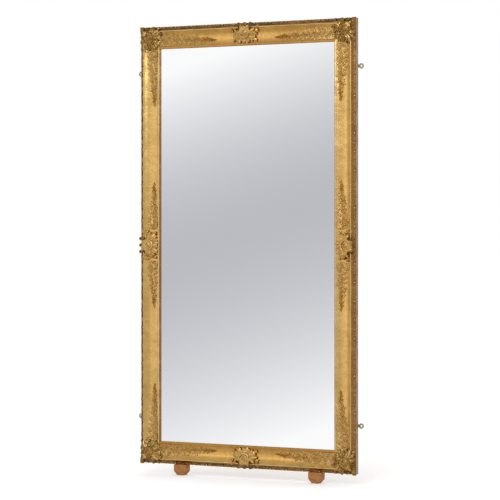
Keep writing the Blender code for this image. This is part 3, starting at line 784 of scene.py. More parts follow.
def crescent(reach, thickness, steps, ends):
    """A swelling bar bent round part of a circle of unit radius, thin at both ends."""
    shares = [step / steps for step in range(steps + 1)]
    angles = [reach * (share - 0.5) for share in shares]
    path = [(math.cos(angle), math.sin(angle), 0.4 * thickness) for angle in angles]
    swellings = [ends + (1.0 - ends) * math.sin(math.pi * share) for share in shares]
    return rod(path, swellings, thickness)


def knob(segments, rings):
    bpy.ops.object.select_all(action="DESELECT")
    bpy.ops.mesh.primitive_uv_sphere_add(segments=segments, ring_count=rings, radius=1.0)
    return taken(bpy.context.object)


LEAF = acanthus(16, 10, 4, 0.62)
SMALL_LEAF = acanthus(11, 6, 3, 0.55)
BAND_LEAF = acanthus(6, 4, 2, 0.30)
PETAL = petal_shape()
LOBE = shell_lobe()
VOLUTE = volute(1.35, 34, 0.088)
SMALL_VOLUTE = volute(1.15, 20, 0.110)
CRESCENT = crescent(math.radians(176.0), 0.21, 20, 0.12)
RING = crescent(2 * math.pi, 0.17, 28, 1.0)
KNOB = knob(16, 9)
BEAD = knob(8, 5)


class Casting:
    """One ornament: parts laid on a bed, kept as points (along, inwards, height) and relief."""

    def __init__(self, least=0.0):
        self.points = []
        self.faces = []
        self.relief = []
        self.least = least

    def lay(
        self, part, x, y, turn, size, height, lift=0.0, mirror=False, wide=1.0, tone=1.0
    ):
        """Lays a part down: size is its scale in the plane, height the scale of its relief.

        tone under 1 leaves the whole part darker and over 1 brighter, through the painted shade and
        painted highlights that the gold reads from the relief.
        """
        local = part["points"].copy()
        local[:, 1] *= (-1.0 if mirror else 1.0) * wide
        cos, sin = math.cos(turn), math.sin(turn)
        first = len(self.points)
        for px, py, pz in local:
            px, py = size * (px * cos - py * sin), size * (px * sin + py * cos)
            self.points.append((x + px, y + py, lift + height * pz))
        for face in part["faces"]:
            turned = face[::-1] if mirror else face
            self.faces.append(tuple(first + index for index in turned))
        self.relief.extend(self.least + (tone - self.least) * part["relief"])

    def lay_round(self, part, x, y, turn, size, height, lift=0.0, mirror=False, tone=1.0):
        """Lays a tube-like part, whose relief scales with its size."""
        self.lay(part, x, y, turn, size, size * height, lift, mirror, tone=tone)

    def cast(self, name, place, flipped):
        """Presses the ornament onto its bed: place turns (x, y, height) into a point."""
        mesh = bpy.data.meshes.new(name)
        faces = [face[::-1] for face in self.faces] if flipped else self.faces
        mesh.from_pydata([tuple(place(*point)) for point in self.points], [], faces)
        # The relief is read by the gold for painted shade in the deep parts and painted highlights
        # on the tops.
        store(mesh, "relief", [float(value) for value in self.relief])
        piece = bpy.data.objects.new(name, mesh)
        bpy.context.collection.objects.link(piece)
        select_only(piece)
        bpy.ops.object.shade_smooth_by_angle(angle=math.radians(50.0))
        return piece


# The colour of dust and old size, used also for the painted shade in the ornaments' deep parts.
OLD_SIZE_AND_SHADE = (0.118, 0.050, 0.007, 1.0)


def ornament_gold(name, leaf, crest, dirt_and_shade_in_pits, rub_on_tops, roughness_shift):
    """Gilded composition: bright where it stands up, a painted highlight, and brown where it lies
    deep, painted shade with dust and old size.
    """
    material, tree, shader = new_material(name)
    place = object_place(tree)
    patch = maths(tree, "SUBTRACT", noise(tree, place, 30.0, 4.0, 0.6), 0.5)
    shown = maths(tree, "MULTIPLY_ADD", patch, 0.5, stored(tree, "relief"))
    # Painted shade with dust in the deep parts, and a painted highlight in the crest colour on the
    # tops, which are also a little rubbed.
    pit_dirt_and_shade = ranged(tree, shown, 0.05, 0.60, dirt_and_shade_in_pits, 0.0)
    tops_worn_and_lit = ranged(tree, shown, 0.55, 1.00, 0.0, 1.0)
    rubbing = maths(tree, "MULTIPLY", tops_worn_and_lit, rub_on_tops)
    tone = mixed_colours(tree, tops_worn_and_lit, (*leaf, 1.0), (*crest, 1.0))
    gilding = use_group(tree, GILDING, (place, tone, RED_BOLE, OLD_SIZE_AND_SHADE, 0.0, rubbing, pit_dirt_and_shade))
    rough = maths(tree, "ADD", gilding["Roughness"], roughness_shift)
    finish(tree, shader, gilding["Colour"], gilding["Metal"], rough)
    shader.inputs["Specular IOR Level"].default_value = 0.08
    bump(tree, shader, gilding["Height"], 0.0006)
    return material


# ---------------------------------------------------------------- Leaf bands
# A running band of husks and berries, pressed in composition and glued in the outer hollow of
# each side; its gilding has gone to bronze, and the berries carry painted highlights.

BAND_PERIOD = 0.0736
BAND_END = 0.090
BAND_LIMITS = (0.0004, 0.0150)
BAND_GOLD = ornament_gold("bronzed_band", (0.36, 0.19, 0.06), (0.95, 0.70, 0.34), 0.50, 0.0, 0.04)

# One period: each husk is its turn, its place along, its row in from the edge, its length along
# and its height; each berry is its place, row, radius, height, lift and tone.
HUSKS = (
    (0.16, 0.08, 0.0060, 0.34, 0.0018),
    (-0.14, 0.12, 0.0040, 0.34, 0.0018),
    (0.12, 0.56, 0.0042, 0.32, 0.0016),
    (-0.18, 0.60, 0.0072, 0.32, 0.0016),
)
# A berry's tone above 1 gives it a painted highlight.
BERRIES = (
    (0.04, 0.0036, 0.0036, 0.0030, 0.0012, 1.5),
    (0.53, 0.0040, 0.0025, 0.0022, 0.0010, 1.4),
)


def band_casting(side):
    reach = HALF_LENGTH[side] - BAND_END
    count = round(2 * reach / BAND_PERIOD)
    period = 2 * reach / count
    band = Casting()
    for index in range(count):
        start = -reach + period * index
        for turn, share, row, length, height in HUSKS:
            x = start + period * share
            band.lay(BAND_LEAF, x, row, turn, period * length, height, wide=0.95)
        for share, row, radius, height, lift, tone in BERRIES:
            band.lay(BEAD, start + period * share, row, 0.0, radius, height, lift, tone=tone)
    return band


for side in MEMBERS:

    def in_hollow(along, inwards, height, side=side):
        inwards = min(BAND_LIMITS[1], max(BAND_LIMITS[0], inwards))
        return point_at(side, along, inwards, hollow_depth(inwards) - height)

    band = band_casting(side).cast(f"husk_band_{side}", in_hollow, side in MIRRORED_SIDES)
    band.data.materials.append(BAND_GOLD)
    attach(band, "root")
    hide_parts(f"leaf_band_{side}")


# ---------------------------------------------------------------- Foliage sprays
# Tapering sprays of acanthus and small scrolls, cast in composition and bedded warm in the
# cove. One runs each way from every corner, and one each way from the middle of both stiles.

SPRAY_PITCH = 0.0122
SPRAY_LIMITS = (0.0235, 0.0815)
WARM_GOLD = ((0.62, 0.385, 0.125), (0.90, 0.60, 0.23))
SPRAY_GOLD = ornament_gold("gilt_foliage", *WARM_GOLD, 0.45, 0.05, 0.05)


def spray_casting(length, root_half_width):
    """A spray along +x from its root: y is across it, from the ridge side to the sight side."""
    spray = Casting()
    count = int(length / SPRAY_PITCH)
    for index in range(count):
        share = index / count
        x = length * share
        half = root_half_width * (1.0 - share) ** 0.58 + 0.0030
        stem = 0.14 * half * math.sin(index * 1.35)
        flip = 1 if index % 2 == 0 else -1
        outer = LEAF if half > 0.013 else SMALL_LEAF
        inner = math.radians(20.0 + 6.0 * math.sin(index * 1.1))
        for hand in (1, -1):
            lean = math.radians(52.0 - 12.0 * share + 8.0 * math.sin(index * 2.1 + hand))
            size = half * (1.36 if hand == flip else 1.12)
            height = 0.0030 + 0.0007 * math.sin(index * 1.7 + hand)
            spray.lay(outer, x, stem, hand * lean, size, height, mirror=hand < 0)
            place = (x + SPRAY_PITCH * 0.5, stem, hand * inner)
            size = half * 0.95
            spray.lay(SMALL_LEAF, *place, size, height + 0.0004, 0.0004, mirror=hand < 0)
        place = (x + SPRAY_PITCH * 0.30, stem + flip * half * 0.20, flip * math.radians(30.0))
        spray.lay_round(SMALL_VOLUTE, *place, half * 1.05, 0.95, 0.0014, mirror=flip < 0)
        if half > 0.008:
            spray.lay(BEAD, x + 0.004, stem - flip * half * 0.55, 0.0, 0.0023, 0.0026, 0.0018)
    spray.lay(SMALL_LEAF, length - 0.016, 0.0, 0.0, 0.020, 0.0028, wide=0.8)
    spray.lay(BEAD, length + 0.004, 0.0, 0.0, 0.0018, 0.0018, 0.0004)
    return spray


def set_spray(name, side, towards, root, tip, half_width, root_line, tip_line):
    """Beds a spray in the cove: from root to tip along a side, its stem between two lines."""
    length = abs(tip - root)

    def on_cove(x, y, height):
        inwards = root_line + (tip_line - root_line) * held(x / length) + y
        inwards = min(SPRAY_LIMITS[1], max(SPRAY_LIMITS[0], inwards))
        return point_at(side, root + towards * x, inwards, cove_depth(inwards) - GAP - height)

    flipped = (side in MIRRORED_SIDES) == (towards > 0)
    piece = spray_casting(length, half_width).cast("foliage_" + name, on_cove, flipped)
    piece.data.materials.append(SPRAY_GOLD)
    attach(piece, "root")
    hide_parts(name)


# From a corner: where a spray starts and ends, in from the frame's end. From a middle: the same,
# out from the middle. Then its half width and the lines of its stem at the root and the tip.
RAIL_SPRAY = (0.092, 0.355, 0.0250, 0.056, 0.063)
STILE_SPRAY = (0.092, 0.325, 0.0250, 0.057, 0.066)
MIDDLE_SPRAY = (0.066, 0.255, 0.0225, 0.056, 0.064)
for side in MEMBERS:
    on_rail = side in ("top", "bottom")
    half = HALF_LENGTH[side]
    words = {-1: "left", 1: "right"} if on_rail else {1: "upper", -1: "lower"}
    for sign, word in words.items():
        start, end, *shape = RAIL_SPRAY if on_rail else STILE_SPRAY
        name = f"corner_spray_{side}_{'rail' if on_rail else 'stile'}_{word}"
        set_spray(name, side, -sign, sign * (half - start), sign * (half - end), *shape)
        if not on_rail:
            start, end, *shape = MIDDLE_SPRAY
            set_spray(f"centre_spray_{side}_{word}", side, sign, sign * start, sign * end, *shape)


# ---------------------------------------------------------------- Corner cartouches
# A domed flower between scrolls and shell lobes, cast in one piece over each mitre and past
# both outer edges, pinned and glued.

BROWNED_GOLD = ((0.43, 0.246, 0.066), (0.92, 0.64, 0.25))
CORNER_GOLD = ornament_gold("gilt_corner", *BROWNED_GOLD, 0.58, 0.04, -0.03)

# The bed of a cartouche, in from the edge and back from the ridge: the moulding that it sits
# on, and the crest that its middle is built up to.
SEAT_LINE = [
    (-0.012, 0.0125),
    (0.0, 0.0118),
    (0.008, 0.0085),
    (0.016, 0.0012),
    (0.018, 0.0),
    (0.022, 0.0),
    (0.030, 0.0062),
    (0.042, 0.0112),
    (0.052, 0.0123),
    (0.066, 0.0110),
    (0.082, 0.0077),
    (0.084, 0.0058),
    (0.094, 0.0060),
]
CREST_LINE = [
    (-0.012, 0.0060),
    (-0.004, 0.0025),
    (0.008, -0.0010),
    (0.020, -0.0032),
    (0.040, -0.0035),
    (0.056, 0.0000),
    (0.072, 0.0035),
    (0.084, 0.0050),
    (0.094, 0.0055),
]
SEAT_LIFT = 0.0006
PLATE_HEIGHT = 0.0004
PLATE_RIM = -0.0020
PLATE_RINGS = 14
PLATE_SPOKES = 84
RIM_SINK = 0.001
MOST_PROUD = 0.0002 - ORNAMENT_PROUD


def eased(share):
    return share * share * (3 - 2 * share)


def soft_step(value, low, high):
    return eased(held((value - low) / (high - low)))


def along_line(line, at):
    for (x0, y0), (x1, y1) in zip(line, line[1:]):
        if at <= x1:
            return y0 + (y1 - y0) * soft_step(at, x0, x1)
    return line[-1][1]


def bedded(inwards, raised, height):
    """The depth of a casting's point on its bed; the rim of its plate is sunk out of sight."""
    seat = along_line(SEAT_LINE, inwards) - SEAT_LIFT
    bed = seat + (along_line(CREST_LINE, inwards) - seat) * raised
    return max(MOST_PROUD, seat + RIM_SINK if height < PLATE_RIM * 0.75 else bed - height)


def ground_plate(casting, centre, outline, shade):
    """The plate that the parts stand on: it follows the bed and ends in the given outline. shade
    gives its relief, and low relief paints it in shade.
    """
    first = len(casting.points)
    casting.points.append((*centre, PLATE_HEIGHT))
    casting.relief.append(shade(*centre))
    for ring in range(1, PLATE_RINGS + 1):
        height = PLATE_HEIGHT if ring < PLATE_RINGS else PLATE_RIM
        for spoke in range(PLATE_SPOKES):
            angle = 2 * math.pi * spoke / PLATE_SPOKES
            reach = outline(angle) * ring / PLATE_RINGS
            x = centre[0] + reach * math.cos(angle)
            y = centre[1] + reach * math.sin(angle)
            casting.points.append((x, y, height))
            casting.relief.append(shade(x, y))
    for spoke in range(PLATE_SPOKES):
        after = (spoke + 1) % PLATE_SPOKES
        casting.faces.append((first, first + 1 + spoke, first + 1 + after))
        for ring in range(PLATE_RINGS - 1):
            inner = first + 1 + ring * PLATE_SPOKES
            outer = inner + PLATE_SPOKES
            casting.faces.append((inner + spoke, outer + spoke, outer + after, inner + after))
    rim = first + 1 + (PLATE_RINGS - 1) * PLATE_SPOKES
    casting.faces.append(tuple(rim + spoke for spoke in reversed(range(PLATE_SPOKES))))


def rosette(casting, x, y, radius, petals, height, tone):
    """A flower: short petals round a ring, and a knob in the ring."""
    for index in range(petals):
        turn = 2 * math.pi * (index + 0.5) / petals
        root_x = x + radius * 0.50 * math.cos(turn)
        root_y = y + radius * 0.50 * math.sin(turn)
        wide = 2 * math.pi / petals * 1.62
        casting.lay(PETAL, root_x, root_y, turn, radius * 0.50, height * 0.8, wide=wide, tone=tone)
    casting.lay(KNOB, x, y, 0.0, radius * 0.60, height * 0.70, height * 0.10, tone=tone * 0.7)
    casting.lay(RING, x, y, 0.0, radius * 0.62, radius * 0.50, height * 0.45, tone=tone)
    casting.lay(RING, x, y, 0.0, radius * 0.34, radius * 0.34, height * 0.75, tone=tone)
    casting.lay(KNOB, x, y, 0.0, radius * 0.17, height * 0.70, height * 0.80, tone=tone)


def wreath(casting, centre, tiers, stretch=1.0):
    """Tiers of small leaves round a flower, leaning away from its axis by turns.

    A tier is (axis, spread, distance, count, length, lean, height), its angles in degrees.
    """
    for axis, spread, distance, count, length, lean, height in tiers:
        for index in range(count):
            off = (index / (count - 1) - 0.5) * spread
            hand = 1 if off > 0 else -1
            out = math.radians(axis + off)
            wild = math.sin(index * 2.3 + distance * 700.0)
            turn = out + hand * math.radians(lean + 16.0 * wild)
            x = centre[0] + distance * stretch * math.cos(out)
            y = centre[1] + distance * math.sin(out)
            size = length * (1.0 + 0.16 * math.cos(index * 1.9 + distance * 300.0))
            tone = 0.95 + 0.30 * wild
            casting.lay(SMALL_LEAF, x, y, turn, size, height, 0.0004, hand < 0, 1.15, tone)


def beads_round(casting, centre, axis, spread, distance, count, size, stretch=1.0):
    """A loose ring of small berries between the leaves."""
    for index in range(count):
        out = math.radians(axis + (index / (count - 1) - 0.5) * spread)
        reach = distance * (1.0 + 0.06 * math.sin(index * 2.7))
        x = centre[0] + reach * stretch * math.cos(out)
        y = centre[1] + reach * math.sin(out)
        # A tone of 1.25 gives the berries painted highlights.
        casting.lay(BEAD, x, y, 0.0, size, size * 1.15, size * 0.55, tone=1.25)


def scrolls(casting, table, place, mirror):
    """One half's scrolls, set by place(x, y, degrees).

    A scroll is (part, x, y, heading, size, height for its size, lift, hand, tone).
    """
    for part, x, y, degrees, size, height, lift, hand, tone in table:
        flip = mirror == (hand > 0)
        casting.lay_round(part, *place(x, y, degrees), size, height, lift, flip, tone=tone)


CORNER_FLOWER = (0.0440, 0.0440)
CORNER_PLATE = (0.050, 0.050)
CORNER_REACH = 0.0390
CORNER_WREATH = (
    (45.0, 236.0, 0.0235, 15, 0.0190, 26.0, 0.0034),
    (45.0, 196.0, 0.0345, 16, 0.0180, -34.0, 0.0025),
    (45.0, 118.0, 0.0450, 10, 0.0150, 30.0, 0.0016),
)
# A tone above 1 gives a scroll a painted highlight.
CORNER_SCROLLS = (
    (CRESCENT, 0.0840, 0.0420, -96.0, 0.0205, 0.70, 0.0006, 1, 1.25),
    (VOLUTE, 0.0260, 0.0185, -8.0, 0.0420, 0.95, 0.0016, 1, 1.1),
    (SMALL_VOLUTE, 0.0960, 0.0350, 170.0, 0.0280, 1.0, 0.0010, -1, 1.0),
    (SMALL_VOLUTE, 0.0940, 0.0640, 196.0, 0.0260, 1.0, 0.0008, -1, 1.0),
    (SMALL_VOLUTE, 0.0760, 0.0560, 28.0, 0.0220, 1.0, 0.0012, 1, 1.2),
)
CORNER_LOBES = 6
LOBE_PITCH = 0.0142


def corner_casting():
    """The corner flower and its scrolls; x and y are both in from the two outer edges."""
    corner = Casting()

    def outline(angle):
        square = 1.0 / max(abs(math.cos(angle)), abs(math.sin(angle)))
        waves = 1.0 + 0.06 * math.cos(13 * angle)
        return CORNER_REACH * (0.70 * min(square, 1.25) + 0.30) * waves

    # The plate's low relief paints the ground between the parts in shade.
    ground_plate(corner, CORNER_PLATE, outline, lambda x, y: 0.16)
    rosette(corner, *CORNER_FLOWER, 0.0235, 12, 0.0036, 0.72)
    wreath(corner, CORNER_FLOWER, CORNER_WREATH)
    beads_round(corner, CORNER_FLOWER, 45.0, 300.0, 0.0265, 17, 0.0019)
    beads_round(corner, CORNER_FLOWER, 45.0, 200.0, 0.0400, 11, 0.0021)
    for mirror in (False, True):

        def place(a, b, degrees):
            turn = math.radians(degrees)
            return (b, a, math.pi / 2 - turn) if mirror else (a, b, turn)

        for index in range(CORNER_LOBES):
            wave = math.sin(index * 2.6 + (0.8 if mirror else 0.0))
            a = 0.0125 + LOBE_PITCH * index + 0.0020 * wave
            size = 0.0150 + 0.0022 * math.cos(index * 2.2)
            lobe = place(a, 0.0125, -90.0 + 6.0 * (index - 2.0) + 14.0 * wave)
            corner.lay(LOBE, *lobe, size, 0.0028, 0.0, mirror, 0.85, 0.30 + 0.16 * wave)
            x, y, _ = place(a + LOBE_PITCH / 2 - 0.0001, 0.0100, 0.0)
            corner.lay(BEAD, x, y, 0.0, 0.0017, 0.0020, 0.0012, tone=0.9)
        scrolls(corner, CORNER_SCROLLS, place, mirror)
    outwards = math.radians(225.0)
    corner.lay(LOBE, 0.0110, 0.0110, outwards, 0.0190, 0.0034, wide=0.9, tone=0.6)
    corner.lay(SMALL_LEAF, 0.0290, 0.0290, outwards, 0.0220, 0.0036, 0.0006, wide=1.2)
    return corner


# How far out the crest reaches from the middle of a corner, and how far a casting may stand
# past the top of the frame and past its right side.
CREST_MIDDLE = 0.046
CREST_REACH = 0.054
PAST_TOP = 0.0020
PAST_RIGHT = 0.0014

CORNER = corner_casting()
for upright in ("top", "bottom"):
    for level, across in (("left", -1), ("right", 1)):

        def over_mitre(a, b, height, upright=upright, across=across):
            off = max(abs(a - CREST_MIDDLE), abs(b - CREST_MIDDLE)) / CREST_REACH
            depth = bedded(min(a, b), 1.0 - soft_step(off, 0.45, 1.0), height)
            a = max(a, -PAST_RIGHT) if across > 0 else a
            z = TOP_Z + min(-b, PAST_TOP) if upright == "top" else FOOT_HEIGHT + b
            return Vector((across * (FRAME_WIDTH / 2 - a), RIDGE_Y + depth, z))

        name = f"corner_cartouche_{upright}_{level}"
        flipped = (upright == "bottom") == (level == "left")
        piece = CORNER.cast("cast_" + name, over_mitre, flipped)
        piece.data.materials.append(CORNER_GOLD)
        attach(piece, "root")
        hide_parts(name)


# ---------------------------------------------------------------- Centre cartouches
# A flower between two deep, looped scrolls, with shell lobes on the outer edge and a palmette
# towards the glass; one cast in composition for the middle of each side.

WORN_GOLD = ((0.68, 0.41, 0.128), (0.90, 0.61, 0.24))
CENTRE_GOLD = ornament_gold("gilt_centre", *WORN_GOLD, 0.80, 0.02, 0.02)
CENTRE_FLOWER = (0.0, 0.0405)
CENTRE_PLATE = (0.0, 0.0445)
CENTRE_STRETCH = 1.42
CENTRE_WREATH = (
    (90.0, 196.0, 0.0205, 11, 0.0160, 24.0, 0.0019),
    (90.0, 170.0, 0.0300, 13, 0.0160, -30.0, 0.0014),
)
LOOP_AT = (0.0335, 0.0225)
# The crescent's tone of 1.3 gives it a painted highlight.
CENTRE_SCROLLS = (
    (CRESCENT, *LOOP_AT, 70.0, 0.0122, 1.0, 0.0012, 1, 1.3),
    (SMALL_VOLUTE, 0.0620, 0.0300, 186.0, 0.0320, 0.8, 0.0006, -1, 1.0),
    (SMALL_VOLUTE, 0.0560, 0.0660, 190.0, 0.0280, 0.8, 0.0004, -1, 1.0),
)

# A lobe and two leaves of each half: place, heading, size, height, lift and tone.
CENTRE_LEAVES = (
    (LOBE, 0.0270, 0.0110, -90.0, 0.0150, 0.0024, 0.0, 0.2),
    (SMALL_LEAF, 0.0480, 0.0200, -24.0, 0.0190, 0.0022, 0.0002, 0.8),
    (SMALL_LEAF, 0.0080, 0.0240, -58.0, 0.0180, 0.0026, 0.0004, 1.0),
)


def centre_casting():
    """x runs along the side from its middle, y in from the outer edge."""
    centre = Casting(least=0.36)

    def outline(angle):
        wide = 0.048 + 0.018 * max(0.0, math.sin(angle)) * abs(math.cos(angle)) ** 0.5
        tall = 0.034
        reach = 1.0 / math.hypot(math.cos(angle) / wide, math.sin(angle) / tall)
        return reach * (1.0 + 0.07 * math.cos(11 * angle))

    # Painted shadow: the plate's relief falls to nothing in the hollows inside the two looped
    # scrolls.
    def shade(x, y):
        off_loop = math.hypot((abs(x) - LOOP_AT[0]) * 0.9, y - LOOP_AT[1])
        return 0.46 * soft_step(off_loop, 0.0094, 0.0128)

    ground_plate(centre, CENTRE_PLATE, outline, shade)
    rosette(centre, *CENTRE_FLOWER, 0.0165, 10, 0.0028, 0.95)
    # The ring's tone of 1.3 gives it a painted highlight.
    centre.lay_round(CRESCENT, 0.0, 0.0400, math.pi / 2, 0.0210, 1.0, 0.0012, tone=1.3)
    wreath(centre, CENTRE_FLOWER, CENTRE_WREATH, CENTRE_STRETCH)
    beads_round(centre, CENTRE_FLOWER, 90.0, 190.0, 0.0270, 10, 0.0016, 1.3)
    for mirror in (False, True):

        def place(x, y, degrees):
            turn = math.radians(degrees)
            return (-x, y, math.pi - turn) if mirror else (x, y, turn)

        scrolls(centre, CENTRE_SCROLLS, place, mirror)
        for part, x, y, degrees, size, height, lift, tone in CENTRE_LEAVES:
            centre.lay(part, *place(x, y, degrees), size, height, lift, mirror, tone=tone)
    centre.lay(LOBE, 0.0, 0.0110, -math.pi / 2, 0.0150, 0.0026, tone=0.2)
    centre.lay(LEAF, 0.0, 0.0555, math.pi / 2, 0.0260, 0.0030, 0.0006, wide=1.1, tone=1.15)
    return centre


# How far along a side the crest reaches, and how far the lobes stand past the two rails.
MIDDLE_REACH = 0.072
PAST_RAIL = 0.0016

CENTRE = centre_casting()
for side in MEMBERS:

    def over_middle(along, inwards, height, side=side):
        raised = 1.0 - soft_step(abs(along) / MIDDLE_REACH, 0.45, 1.0)
        off_loop = math.hypot(abs(along) - LOOP_AT[0], inwards - LOOP_AT[1])
        if height < 0.001:
            raised *= soft_step(off_loop, 0.0065, 0.0100)
        depth = bedded(inwards, raised, height)
        inwards = max(-PAST_RAIL, inwards) if side in ("top", "bottom") else inwards
        return point_at(side, along, inwards, depth)

    name = f"centre_cartouche_{side}"
    piece = CENTRE.cast("cast_" + name, over_middle, side in MIRRORED_SIDES)
    piece.data.materials.append(CENTRE_GOLD)
    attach(piece, "root")
    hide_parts(name)


# ---------------------------------------------------------------- Mirror plate
# One plate of thin old glass, silvered on the back, loose in the rebate. The silver is sound
# in the middle and faintly foxed along the edges.


def silvered_glass():
    material, tree, shader = new_material("silvered_glass")
    place = object_place(tree)
    parts = add_node(tree, "ShaderNodeSeparateXYZ", {0: place})
    half_wide = FRAME_WIDTH / 2 - MEMBER_WIDTH
    half_tall = FRAME_HEIGHT / 2 - MEMBER_WIDTH
    from_side = maths(tree, "SUBTRACT", half_wide, maths(tree, "ABSOLUTE", parts.outputs[0]))
    level = maths(tree, "SUBTRACT", parts.outputs[2], MIDDLE_Z)
    from_end = maths(tree, "SUBTRACT", half_tall, maths(tree, "ABSOLUTE", level))
    edge = maths(tree, "MINIMUM", from_side, from_end)
    near_edge = ranged(tree, edge, 0.0, 0.012, 0.16, 0.0)
    spots = noise(tree, place, 150.0, 4.0, 0.6)
    foxing = ranged(tree, maths(tree, "ADD", spots, near_edge), 0.80, 0.92)
    silver = mixed_colours(tree, foxing, (0.955, 0.958, 0.965, 1.0), (0.62, 0.58, 0.52, 1.0))
    haze = ranged(tree, noise(tree, place, 3.0, 2.0), 0.3, 0.7, 0.006, 0.022)
    finish(tree, shader, silver, 1.0, haze)
    return material


def finish_node(name, material):
    """Gives a carried-over piece its finish."""
    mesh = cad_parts[name].data
    mesh.materials.clear()
    mesh.materials.append(material)


finish_node("mirror_glass", silvered_glass())


# ---------------------------------------------------------------- Fillets, backboards and keys
# Deal boards lie across the back between thin fillets; loose keys are let in across the
# mitres. All of it is bare pine, darkened by age, with the saw's marks still on it.

JOINT_SHADE_REACH = 0.004
BOARD_SHIFT = 0.382


def wood_material(name, stretch, tones, shift=0.0, joints=None):
    """Bare wood; joints is the lower and the upper edge of a board, which is given painted shade
    along both.
    """
    material, tree, shader = new_material(name)
    wood = sawn_wood(tree, stretch, tones, shift)
    colour = wood["Colour"]
    if joints:
        up = add_node(tree, "ShaderNodeSeparateXYZ", {0: object_place(tree)}).outputs[2]
        off_middle = maths(tree, "SUBTRACT", up, sum(joints) / 2)
        half = (joints[1] - joints[0]) / 2
        reach = (half - JOINT_SHADE_REACH, half - JOINT_SHADE_REACH / 8)
        # Painted shade along the joints between the boards.
        darkening = ranged(tree, maths(tree, "ABSOLUTE", off_middle), *reach, 0.0, 0.75)
        colour = mixed_colours(tree, darkening, colour, (0.045, 0.028, 0.016, 1.0))
    finish(tree, shader, colour, 0.0, wood["Roughness"])
    bump(tree, shader, wood["Height"], 0.0005)
    return material


LEVEL_PINE = wood_material("pine_level_grain", LEVEL_GRAIN, OLD_PINE)
UPRIGHT_PINE = wood_material("pine_upright_grain", UPRIGHT_GRAIN, OLD_PINE)
KEY_PINE = wood_material("key_pine", (14.0, 34.0, 14.0), OLD_PINE, 0.9)
BOARDS = sorted(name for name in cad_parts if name.startswith("backboard"))
for number, name in enumerate(BOARDS):
    low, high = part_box(name)
    shift = number * BOARD_SHIFT % 1.0
    pine = wood_material(name + "_pine", LEVEL_GRAIN, OLD_PINE, shift, (low.z, high.z))
    finish_node(name, pine)
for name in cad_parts:
    if name in ("glass_fillet_top", "glass_fillet_bottom"):
        finish_node(name, LEVEL_PINE)
    elif name.startswith("glass_fillet"):
        finish_node(name, UPRIGHT_PINE)
    elif name.startswith("mitre_key"):
        finish_node(name, KEY_PINE)


# ---------------------------------------------------------------- Wall plates and screws
# Four cast brass plates screwed to the backs of the stiles, each with an eye past the frame
# for a screw into the wall; dull and greenish now. The screws are steel.


def dull_metal(name, clean, tarnish, roughness):
    material, tree, shader = new_material(name)
    place = object_place(tree)
    blotch = noise(tree, place, 120.0, 5.0, 0.65)
    scratch = noise(tree, place, 700.0, 3.0, 0.7)
    share = ranged(tree, blotch, 0.38, 0.66)
    colour = mixed_colours(tree, share, (*clean, 1.0), (*tarnish, 1.0))
    metal = ranged(tree, share, 0.0, 1.0, 1.0, 0.72)
    rough = ranged(tree, blotch, 0.3, 0.7, roughness, roughness + 0.22)
    finish(tree, shader, colour, metal, rough)
    height = maths(tree, "MULTIPLY_ADD", blotch, 0.6, maths(tree, "MULTIPLY", scratch, 0.4))
    bump(tree, shader, height, 0.0003)
    return material


BRASS = dull_metal("dull_brass", (0.62, 0.50, 0.28), (0.36, 0.31, 0.20), 0.32)
STEEL = dull_metal("old_steel", (0.36, 0.34, 0.32), (0.16, 0.11, 0.08), 0.40)
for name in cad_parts:
    if name.startswith("wall_plate"):
        finish_node(name, BRASS)
    elif "screw" in name:
        finish_node(name, STEEL)


# ---------------------------------------------------------------- Nails of the backboards
# Cut steel nails with flat rose heads, two at each end of every board, driven into the rebate.

NAIL_RADIUS = 0.0028
NAIL_PROUD = 0.0005
NAIL_FROM_END = 0.005
NAIL_FROM_JOINT = 0.045

nails = Casting()
for name in BOARDS:
    low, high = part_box(name)
    for x in (low.x + NAIL_FROM_END, high.x - NAIL_FROM_END):
        for z in (low.z + NAIL_FROM_JOINT, high.z - NAIL_FROM_JOINT):
            nails.lay(BEAD, x, z, 0.0, NAIL_RADIUS, NAIL_PROUD)
board_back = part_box(BOARDS[0])[1].y


def on_boards(x, z, out):
    return Vector((x, board_back + out, z))


nail_heads = nails.cast("backboard_nails", on_boards, True)
nail_heads.data.materials.append(STEEL)
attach(nail_heads, "root")


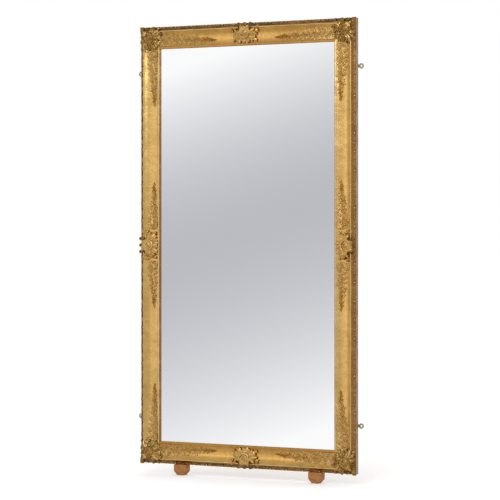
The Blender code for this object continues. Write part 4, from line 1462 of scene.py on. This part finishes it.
# ---------------------------------------------------------------- Foot blocks
# Two reddish hardwood blocks under the bottom rail, nearly as deep as it, with their lower
# corners sawn off and their edges eased. One long screw up a counterbore holds each.

FOOT_CHAMFER = 0.017
FOOT_EASING = 0.0022
COUNTERBORE_RADIUS = 0.0060
COUNTERBORE_DEPTH = 0.014
FOOT_GRAIN = (9.0, 9.0, 60.0)
OILED_RED = ((0.385, 0.155, 0.036), (0.240, 0.082, 0.014), (0.200, 0.072, 0.014))
FOOT_WOOD = wood_material("foot_block_wood", FOOT_GRAIN, OILED_RED)


def foot_block(name):
    """A block with its lower corners sawn off, all its edges eased, and a counterbore below."""
    low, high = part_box(name)
    middle = (low + high) / 2
    bpy.ops.object.select_all(action="DESELECT")
    bpy.ops.mesh.primitive_cube_add(size=1.0, location=middle)
    block = bpy.context.object
    block.scale = high - low
    bpy.ops.object.transform_apply(location=True, rotation=True, scale=True)
    bpy.ops.object.mode_set(mode="EDIT")
    for side_x, out in ((low.x, -1.0), (high.x, 1.0)):
        bpy.ops.mesh.select_all(action="SELECT")
        bpy.ops.mesh.bisect(
            plane_co=(side_x, 0.0, low.z + FOOT_CHAMFER),
            plane_no=(out, 0.0, -1.0),
            use_fill=True,
            clear_outer=True,
        )
    bpy.ops.object.mode_set(mode="OBJECT")
    easing = block.modifiers.new("easing", "BEVEL")
    easing.width = FOOT_EASING
    easing.segments = 3
    easing.limit_method = "ANGLE"
    bpy.ops.object.modifier_apply(modifier=easing.name)
    bpy.ops.object.select_all(action="DESELECT")
    bpy.ops.mesh.primitive_cylinder_add(
        vertices=28,
        radius=COUNTERBORE_RADIUS,
        depth=2 * COUNTERBORE_DEPTH,
        location=(middle.x, middle.y, low.z),
    )
    cut_away(block, bpy.context.object)
    select_only(block)
    bpy.ops.object.shade_smooth_by_angle(angle=math.radians(32.0))
    block.name = "eased_" + name
    return block


for name in ("foot_left", "foot_right"):
    block = foot_block(name)
    block.data.materials.append(FOOT_WOOD)
    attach(block, "root")
    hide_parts(name)
